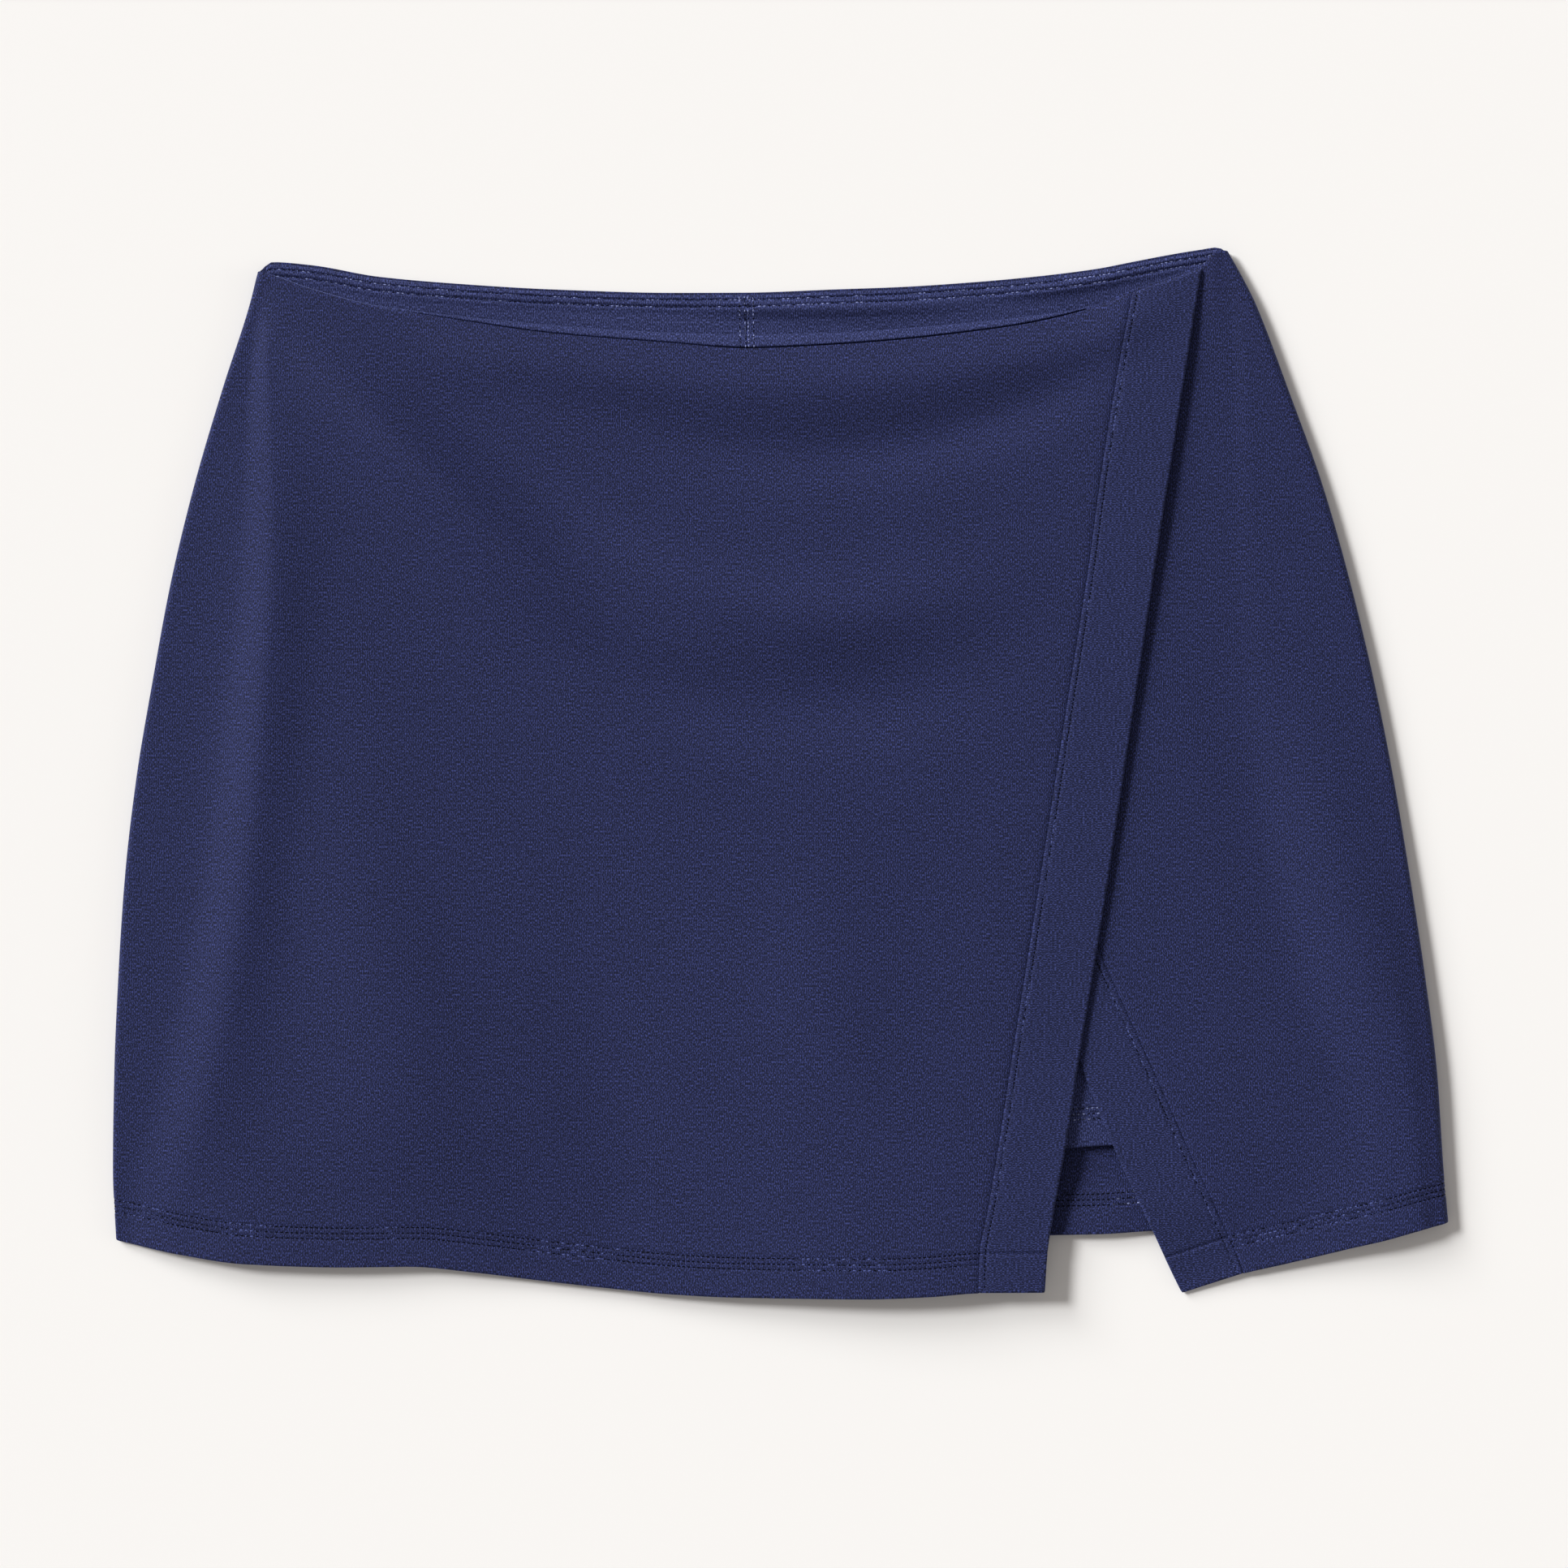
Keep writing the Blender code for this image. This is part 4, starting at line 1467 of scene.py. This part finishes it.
@dataclass(frozen=True)
class SewnLook:
    """Small relief that sewing leaves in the cloth, in millimetres."""

    dent: float = 0.28
    dent_width: float = 0.55
    fine_width: float = 0.45
    hem_dents: float = 1.6  # in dents, both faces together
    end_dents: float = 2.6
    end_fold: float = 17.4  # from a band's end
    seam_dip: float = 0.3
    seam_width: float = 1.3
    lap: float = 1.2  # a front goes this far under its band
    lap_dip: float = 1.3
    lap_width: float = 1.4
    turn_up: float = 0.4
    turn_up_end: float = 19.4
    turn_up_slope: float = 1.2
    waist_ridge: float = 0.6
    waist_rise: float = 1.2
    waist_end: float = 9.0
    waist_fall: float = 3.5
    waist_depth: float = 0.95

    def rows_of(self, away: Array, rows: Iterable[float]) -> Array:
        """Sum of the dents of stitch rows, each a bell across its row.

        Args:
            away: distances from an edge.
            rows: the rows' own distances from it.

        Returns:
            The depth at each distance.
        """
        total = 0.0 * away
        for distance in rows:
            total = total + self.dent * bell(away - distance, self.dent_width)
        return total

    def dip(self, away: Array) -> Array:
        """Cloth drawn down towards a seam: depth * exp(-away / width)."""
        return self.seam_dip * np.exp(-away / self.seam_width)

    def under_lap(self, away: Array) -> Array:
        """A front drawn down where it goes under its band, by the same rule."""
        return self.lap_dip * np.exp(-away / self.lap_width)

    def hem(self, drape: Drape, double: bool = True) -> None:
        """Dents both faces along the hem's rows and turns its edge up inside.

        Args:
            drape: the cloth that is hemmed.
            double: whether the turned-up edge shows as a step inside.
        """
        away = drape.from_edge(Side.BOTTOM)
        dents = self.rows_of(away, HEM_ROWS)
        drape.press(dents)
        step = self.turn_up * ease((self.turn_up_end - away) / self.turn_up_slope)
        drape.extra = drape.extra + (step if double else 0.0) - self.hem_dents * dents

    def band_end(self, drape: Drape) -> None:
        """Presses in the crosswise fold line where a band's end is turned up."""
        away = drape.from_edge(Side.BOTTOM) - self.end_fold
        drape.press(self.end_dents * self.dent * bell(away, self.fine_width))

    def waist(self, drape: Drape) -> None:
        """Raises the inner face in soft ridges beside the waist's two rows.

        Args:
            drape: the back of the shorts.
        """
        away = drape.from_edge(Side.TOP)
        ridges = self.waist_ridge * ease((self.waist_end - away) / self.waist_fall)
        drape.extra = drape.extra + ridges * ease(away / self.waist_rise)
        for distance in WAIST_ROWS:
            drape.extra = drape.extra - self.waist_depth * bell(away - distance, self.fine_width)


SEWN = SewnLook()


@dataclass
class Skirt:
    """The two fronts, their bands and the back."""

    finishes: Finishes
    over_columns: int = 200
    over_rows: RowSpacing = RowSpacing(200, 446.0, 6.0, 16)
    under_columns: int = 150
    under_rows: RowSpacing = RowSpacing(190, 446.0, 8.0, 8)
    back_columns: int = 170
    back_rows: RowSpacing = RowSpacing(150, 440.0, 10.0, 14)
    band_columns: int = 36
    over_band_rows: RowSpacing = RowSpacing(200, 474.0, 6.0, 6, 36)
    under_band_rows: RowSpacing = RowSpacing(200, 470.0, 6.0, 6, 36)
    edge_columns: int = 8  # close columns at both edges of a band
    edge_share: float = 0.14  # share of its width that they take
    band_tuck: float = 3.5  # mm

    def over_front(self) -> Drape:
        """Over front: from the left fold to the seam of its band."""
        index, down = self.over_rows.grid(self.over_columns)
        seam = OVER_WRAP["seam"] + SEWN.lap
        left = outline(LEFT_SIDE)
        right = side_edge(OVER_WRAP, "seam", OVER_WRAP["y"][1], OVER_WRAP["y"][-1], SEWN.lap)
        top = cross_edge(WAIST, "shell", LEFT_SIDE["edge"][0], seam[1])
        bottom = cross_edge(OVER_HEM, "y", LEFT_SIDE["edge"][-1], seam[-1])
        start = left(down)
        width = np.hypot(*(right(down) - start))
        inward, rise, fold = SideFold(LEFT_SIDE).lines(index, self.over_columns, start[1], width)
        x, y = patch(inward / width, down, left, right, top, bottom)
        height = LAYERS.from_fold(fold, rise, inward, LAYERS.over_face(x, y))
        drape = Drape(np.stack((x, y, height), axis=-1), LAYERS.cloth)
        drape.tuck(Side.BOTTOM, LAYERS.cloth / 2)
        drape.tuck(Side.TOP, LAYERS.cloth / 2)
        lap = SEWN.under_lap(drape.from_edge(Side.RIGHT))
        drape.press(lap + SEWN.dip(drape.from_edge(Side.TOP)))
        SEWN.hem(drape)
        return drape

    def under_front(self) -> Drape:
        """Under front: from the seam of its band to the right fold."""
        last = self.under_columns
        index, down = self.under_rows.grid(last)
        seam = UNDER_WRAP["seam"][0] - SEWN.lap, UNDER_HEM["x"][2] - SEWN.lap
        left = side_edge(UNDER_WRAP, "seam", UNDER_WRAP["y"][0], UNDER_HEM["y"][2], -SEWN.lap)
        right = outline(RIGHT_SIDE)
        top = cross_edge(WAIST, "shell", seam[0], RIGHT_SIDE["edge"][0])
        bottom = cross_edge(UNDER_HEM, "y", seam[1], RIGHT_SIDE["edge"][-1])
        end = right(down)
        width = np.hypot(*(end - left(down)))
        inward, rise, fold = SideFold(RIGHT_SIDE).lines(last - index, last, end[1], width)
        x, y = patch(1.0 - inward / width, down, left, right, top, bottom)
        height = LAYERS.from_fold(fold, rise, inward, LAYERS.under_face(x, y))
        drape = Drape(np.stack((x, y, height), axis=-1), LAYERS.cloth)
        drape.tuck(Side.BOTTOM, LAYERS.cloth / 2)
        drape.press(SEWN.under_lap(drape.from_edge(Side.LEFT)))
        SEWN.hem(drape)
        return drape

    def over_band(self) -> Drape:
        """Band along the over front's wrap edge."""
        half = LAYERS.gap / 2
        rows = OVER_WRAP["y"]
        left = side_edge(OVER_WRAP, "seam", rows[1], rows[-1], half)
        right = side_edge(OVER_WRAP, "free", rows[0], rows[-1])
        drape = self.band(left, right, LAYERS.over_face, self.over_band_rows, Side.LEFT)
        from_seam = drape.from_edge(Side.LEFT)
        dips = SEWN.dip(from_seam) + SEWN.dip(drape.from_edge(Side.TOP))
        drape.press(dips + SEWN.rows_of(from_seam, (OVER_BAND_ROW,)))
        SEWN.band_end(drape)
        return drape

    def under_band(self) -> Drape:
        """Band along the under front's wrap edge."""
        half = LAYERS.gap / 2
        rows = UNDER_WRAP["y"]
        left = side_edge(UNDER_WRAP, "free", rows[1], rows[-1])
        right = side_edge(UNDER_WRAP, "seam", rows[0], UNDER_HEM["y"][2], -half)
        drape = self.band(left, right, LAYERS.under_face, self.under_band_rows, Side.RIGHT)
        from_seam = drape.from_edge(Side.RIGHT)
        drape.press(SEWN.dip(from_seam) + SEWN.rows_of(from_seam, (UNDER_BAND_ROW,)))
        SEWN.band_end(drape)
        return drape

    def band(
        self, left: Place, right: Place, face: Face, rows: RowSpacing, seam: Side
    ) -> Drape:
        """Straight strip between two edges, on the height of its front.

        Args:
            left, right: the band's long edges.
            face: height of the front that it belongs to.
            rows: how its grid rows lie.
            seam: the long edge that is sewn to the front.

        Returns:
            The band's outer face.
        """
        last = self.band_columns
        index, down = rows.grid(last)
        across = spread(
            index,
            (0, 0.0),
            (self.edge_columns, self.edge_share),
            (last - self.edge_columns, 1.0 - self.edge_share),
            (last, 1.0),
        )
        top, bottom = (
            straight_edge(left(end)[:, :, None], right(end)[:, :, None])
            for end in (np.zeros(1), np.ones(1))
        )
        x, y = patch(across, down, left, right, top, bottom)
        drape = Drape(np.stack((x, y, face(x, y)), axis=-1), LAYERS.band)
        for side in Side:
            closed = LAYERS.seam_closed if side is seam else 0.0
            drape.tuck(side, LAYERS.band / 2 - closed, self.band_tuck)
        return drape

    def back(self) -> Drape:
        """Back of the skirt: from fold to fold, flat on the table."""
        last = self.back_columns
        index, down = self.back_rows.grid(last)
        left, right = outline(LEFT_SIDE), outline(RIGHT_SIDE)
        top = cross_edge(WAIST, "back", LEFT_SIDE["edge"][0], RIGHT_SIDE["edge"][0])
        bottom = cross_edge(BACK_HEM, "y", LEFT_SIDE["edge"][-1], RIGHT_SIDE["edge"][-1])
        start, end = left(down), right(down)
        width = np.hypot(*(end - start))
        left_fold, right_fold = SideFold(LEFT_SIDE), SideFold(RIGHT_SIDE)
        left_high = column(LEFT_SIDE, "fold", start[1])
        right_high = column(RIGHT_SIDE, "fold", end[1])
        from_left, rise_left = left_fold.turn(index, left_high)
        from_right, rise_right = right_fold.turn(last - index, right_high)
        middle = width - (left_high + right_high) / 2 + 2.0 * LAYERS.fold_flat
        stops = (left_fold.folded, 0.0 * width), (last - right_fold.folded, middle)
        inward = from_left + spread(index, *stops)
        inward = inward + right_high / 2 - LAYERS.fold_flat - from_right
        x, y = patch(inward / width, down, left, right, top, bottom)
        height = left_high / 2 - rise_left + right_high / 2 - rise_right
        height = height + LAYERS.back_lift(x, y) + soft_folds(x, y, BACK_FOLDS)
        drape = Drape(np.stack((x, y, height), axis=-1), LAYERS.cloth, faces_down=True)
        drape.tuck(Side.BOTTOM, LAYERS.cloth / 2)
        drape.tuck(Side.TOP, LAYERS.cloth / 2)
        SEWN.hem(drape)
        return drape

    def build(self) -> dict[str, Drape]:
        """Builds and shows the five pieces, each in place of its solid."""
        drapes = {
            "skirt_front_over": self.over_front(),
            "skirt_front_under": self.under_front(),
            "wrap_band_over": self.over_band(),
            "wrap_band_under": self.under_band(),
            "skirt_back": self.back(),
        }
        for node, drape in drapes.items():
            band = "band" in node
            mesh = shell_mesh(node + "_cloth", drape, cloth_turned=band)
            piece = show(mesh, self.finishes.band if band else self.finishes.shell)
            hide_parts(node)
        return drapes


@dataclass
class Shorts:
    """The two legs of the shorts, sewn in at the waist."""

    finishes: Finishes
    columns: int = 110
    rows: RowSpacing = RowSpacing(150, 400.0, 12.0, 34, 34)
    centre_columns: int = 8  # close columns at the centre seam
    centre_share: float = 0.03  # share of the width that they take
    side_columns: int = 6
    side_share: float = 0.02
    waist_lip: float = 1.3  # mm from the skirt's back edge down to the shorts' edge

    def panel(self, wearers_left: bool, front: bool) -> Drape:
        """One quarter of the shorts, from the centre seam to the side.

        Args:
            wearers_left: the half at the photograph's right.
            front: the layer under the fronts, or the one on the back.

        Returns:
            The quarter's outer face.
        """
        index, down = self.rows.grid(self.columns)
        waist = "strip" if front else "back"
        drop = 0.0 if front else -self.waist_lip
        side = RIGHT_SIDE if wearers_left else LEFT_SIDE
        inner = "left" if wearers_left else "right"
        half = LAYERS.gap / 2 if wearers_left else -LAYERS.gap / 2
        seam_x, side_x = INNER_LEGS[inner][0] + half, side["shorts"][0]
        seam_top = float(column(WAIST, waist, seam_x, "x")) + drop
        side_top = float(column(WAIST, waist, side_x, "x")) + drop
        leg = side_edge(INNER_LEGS, inner, seam_top, LEG_HEM["y"][1], half)
        side_hem = float(column(LEG_HEM, "y", side["shorts"][-2], "x"))
        outer = side_edge(side, "shorts", side_top, side_hem)
        zero, one = np.zeros(1), np.ones(1)
        top = cross_edge(WAIST, waist, leg(zero)[0, 0], outer(zero)[0, 0], drop)
        bottom = cross_edge(LEG_HEM, "y", leg(one)[0, 0], outer(one)[0, 0])
        share = spread(
            index,
            (0, 0.0),
            (self.centre_columns, self.centre_share),
            (self.columns - self.side_columns, 1.0 - self.side_share),
            (self.columns, 1.0),
        )
        if wearers_left:
            x, y = patch(share, down, leg, outer, top, bottom)
        else:
            mirrored = 1.0 - np.flip(share, axis=1)
            x, y = patch(mirrored, down, outer, leg, flip(top), flip(bottom))
        height = LAYERS.rolled_strip(x, y) if front else LAYERS.layer + LAYERS.back_lift(x, y)
        drape = Drape(np.stack((x, y, height), axis=-1), LAYERS.cloth, faces_down=not front)
        centre = Side.LEFT if wearers_left else Side.RIGHT
        for edge in Side:
            closed = LAYERS.seam_closed if edge is centre else 0.0
            drape.tuck(edge, LAYERS.cloth / 2 - closed)
        SEWN.hem(drape, double=False)
        if not front:
            drape.extra = drape.extra + soft_folds(x, y, INNER_FOLDS)
            SEWN.waist(drape)
        return drape

    def build(self) -> dict[str, Drape]:
        """Builds and shows the four quarters, each in place of its solid."""
        drapes = {}
        for side, wearers_left in (("left", True), ("right", False)):
            for end, front in (("back", False), ("front", True)):
                node = f"shorts_{end}_{side}"
                drapes[node] = self.panel(wearers_left, front)
                mesh = shell_mesh(node + "_cloth", drapes[node], cloth_turned=False)
                piece = show(mesh, self.finishes.shorts)
                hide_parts(node)
        return drapes


@dataclass(frozen=True)
class Cut:
    """Flat cut of what shows of a piece, in metres, and what it lies on."""

    flat: tuple[float, float]
    area: float
    rests_on: tuple[str, ...]


@dataclass
class Sewing:
    """All visible stitching, as one mesh of thread for each piece of cloth."""

    finishes: Finishes
    left_ribs: tuple[float, float] = (4.0, 50.0)  # mm along the hem, from its left end
    right_ribs: tuple[float, float] = (56.0, 92.0)

    def plans(self) -> dict[str, list[Row]]:
        """Rows of stitches of each piece, by its node."""
        hem = [Row(Side.BOTTOM, distance, COVERSTITCH) for distance in HEM_ROWS]
        inside = [Row(Side.BOTTOM, distance, COVERSTITCH, inner=True) for distance in HEM_ROWS]
        waist = [Row(Side.TOP, distance, CHAINSTITCH, inner=True) for distance in WAIST_ROWS]
        left_ribs, right_ribs = (
            Row(Side.BOTTOM, HEM_ROWS[1], RIB, start=start, stop=stop)
            for start, stop in (self.left_ribs, self.right_ribs)
        )
        plans = {
            "skirt_front_over": [*hem, left_ribs],
            "skirt_front_under": [*hem, right_ribs],
            "skirt_back": hem + inside,
            "wrap_band_over": [Row(Side.LEFT, OVER_BAND_ROW, TOPSTITCH)],
            "wrap_band_under": [Row(Side.RIGHT, UNDER_BAND_ROW, TOPSTITCH)],
        }
        for half, centre in (("left", Side.LEFT), ("right", Side.RIGHT)):
            seam = [Row(centre, distance, FLATLOCK) for distance in CENTRE_ROWS]
            lining = [Row(centre, distance, FLATLOCK, inner=True) for distance in CENTRE_ROWS]
            plans[f"shorts_front_{half}"] = hem + seam
            plans[f"shorts_back_{half}"] = hem + lining + waist
        return plans

    def build(self, drapes: dict[str, Drape]) -> None:
        """Sews the pieces: a mesh of thread for each, and one of ribs where it has them.

        Args:
            drapes: the pieces of cloth by node.
        """
        for node, plan in self.plans().items():
            inside = "shorts" in node or "back" in node
            finish = self.finishes.inner_thread if inside else self.finishes.thread
            rows = [row for row in plan if not row.stitch.across]
            ribs = [row for row in plan if row.stitch.across]
            sewn = [show(thread_mesh(node + "_thread", drapes[node], rows), finish)]
            if ribs:
                mesh = thread_mesh(node + "_ribs", drapes[node], ribs)
                sewn.append(show(mesh, self.finishes.shell))


# Studio -------------------------------------------------------------------------


@dataclass(frozen=True)
class FarLight:
    """Soft box so far off that it lights the whole table evenly."""

    name: str
    towards: tuple[float, float]  # direction in plan from the garment to the light
    up: float  # degrees over the table
    spread: float  # degrees that the light takes up, seen from the garment
    strength: float  # W/m2
    away: float = 3.0  # metres at which the lamp's own mark stands

    def build(self) -> None:
        """Adds the lamp, which shines from (cos up * direction, sin up)."""
        angle = math.radians(self.up)
        flat = np.array(self.towards) / math.hypot(*self.towards)
        aim = mathutils.Vector((*(math.cos(angle) * flat), math.sin(angle)))
        lamp = bpy.data.lights.new(self.name, "SUN")
        lamp.angle = math.radians(self.spread)
        lamp.energy = self.strength
        holder = bpy.data.objects.new(self.name, lamp)
        holder.location = aim * self.away
        holder.rotation_mode = "QUATERNION"
        holder.rotation_quaternion = aim.to_track_quat("Z", "Y")
        bpy.context.scene.collection.objects.link(holder)


@dataclass
class Studio:
    """White table, soft light from the upper left and a camera overhead."""

    middle: tuple[float, float] = (1.7, -5.6)  # mm, what the camera looks at
    height: float = 2200.0
    seen: float = 724.5  # mm of table across the picture
    sensor: float = 36.0
    table_reach: float = 12.0  # metres
    table_drop: float = 0.05  # mm that the table lies below the cloth
    surround: tuple[float, float, float] = (0.304, 0.286, 0.276)
    lights: tuple[FarLight, ...] = (
        FarLight("soft_box", (-0.89, 0.457), 37.0, 14.0, 2.5),
        FarLight("low_box", (-0.74, 0.67), 23.0, 24.0, 2.1),
        FarLight("bounce_card", (0.98, -0.15), 12.0, 30.0, 0.4),
    )

    def table_top(self) -> None:
        """Pale laminate table, one square that reaches past every view."""
        mesh = bpy.data.meshes.new("table_top")
        turns = ((-1, -1), (1, -1), (1, 1), (-1, 1))
        corners = [(x * self.table_reach, y * self.table_reach, 0.0) for x, y in turns]
        mesh.from_pydata(corners, [], [(0, 1, 2, 3)])
        top = bpy.data.objects.new("table_top", mesh)
        top.location.z = -self.table_drop * MM
        bpy.context.scene.collection.objects.link(top)
        mesh.materials.append(Laminate().build())

    def light(self) -> None:
        """Two soft boxes on the left, a card on the right and a warm surround."""
        for light in self.lights:
            light.build()
        world = bpy.data.worlds.new("warm_surround")
        world.use_nodes = True
        back = world.node_tree.nodes["Background"]
        back.inputs["Color"].default_value = (*self.surround, 1.0)
        back.inputs["Strength"].default_value = 1.0
        bpy.context.scene.world = world
        bpy.context.scene.view_settings.view_transform = "Standard"

    def camera(self) -> None:
        """Camera straight above the garment, as in the photograph."""
        data = bpy.data.cameras.new("overhead")
        data.sensor_width = self.sensor
        data.lens = self.sensor * self.height / self.seen
        data.clip_end = 50.0
        camera = bpy.data.objects.new("overhead", data)
        camera.location = (self.middle[0] * MM, self.middle[1] * MM, self.height * MM)
        bpy.context.scene.collection.objects.link(camera)
        bpy.context.scene.camera = camera

    def build(self) -> None:
        """Sets up the table, the lights and the camera."""
        self.table_top()
        self.light()
        self.camera()


def main() -> None:
    """Builds the garment and the studio."""
    logging.basicConfig(level=logging.INFO, format="%(name)s %(message)s")
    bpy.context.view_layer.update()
    finishes = Finishes()
    drapes = Skirt(finishes).build() | Shorts(finishes).build()
    Sewing(finishes).build(drapes)
    Studio().build()


if __name__ == "__main__":
    main()
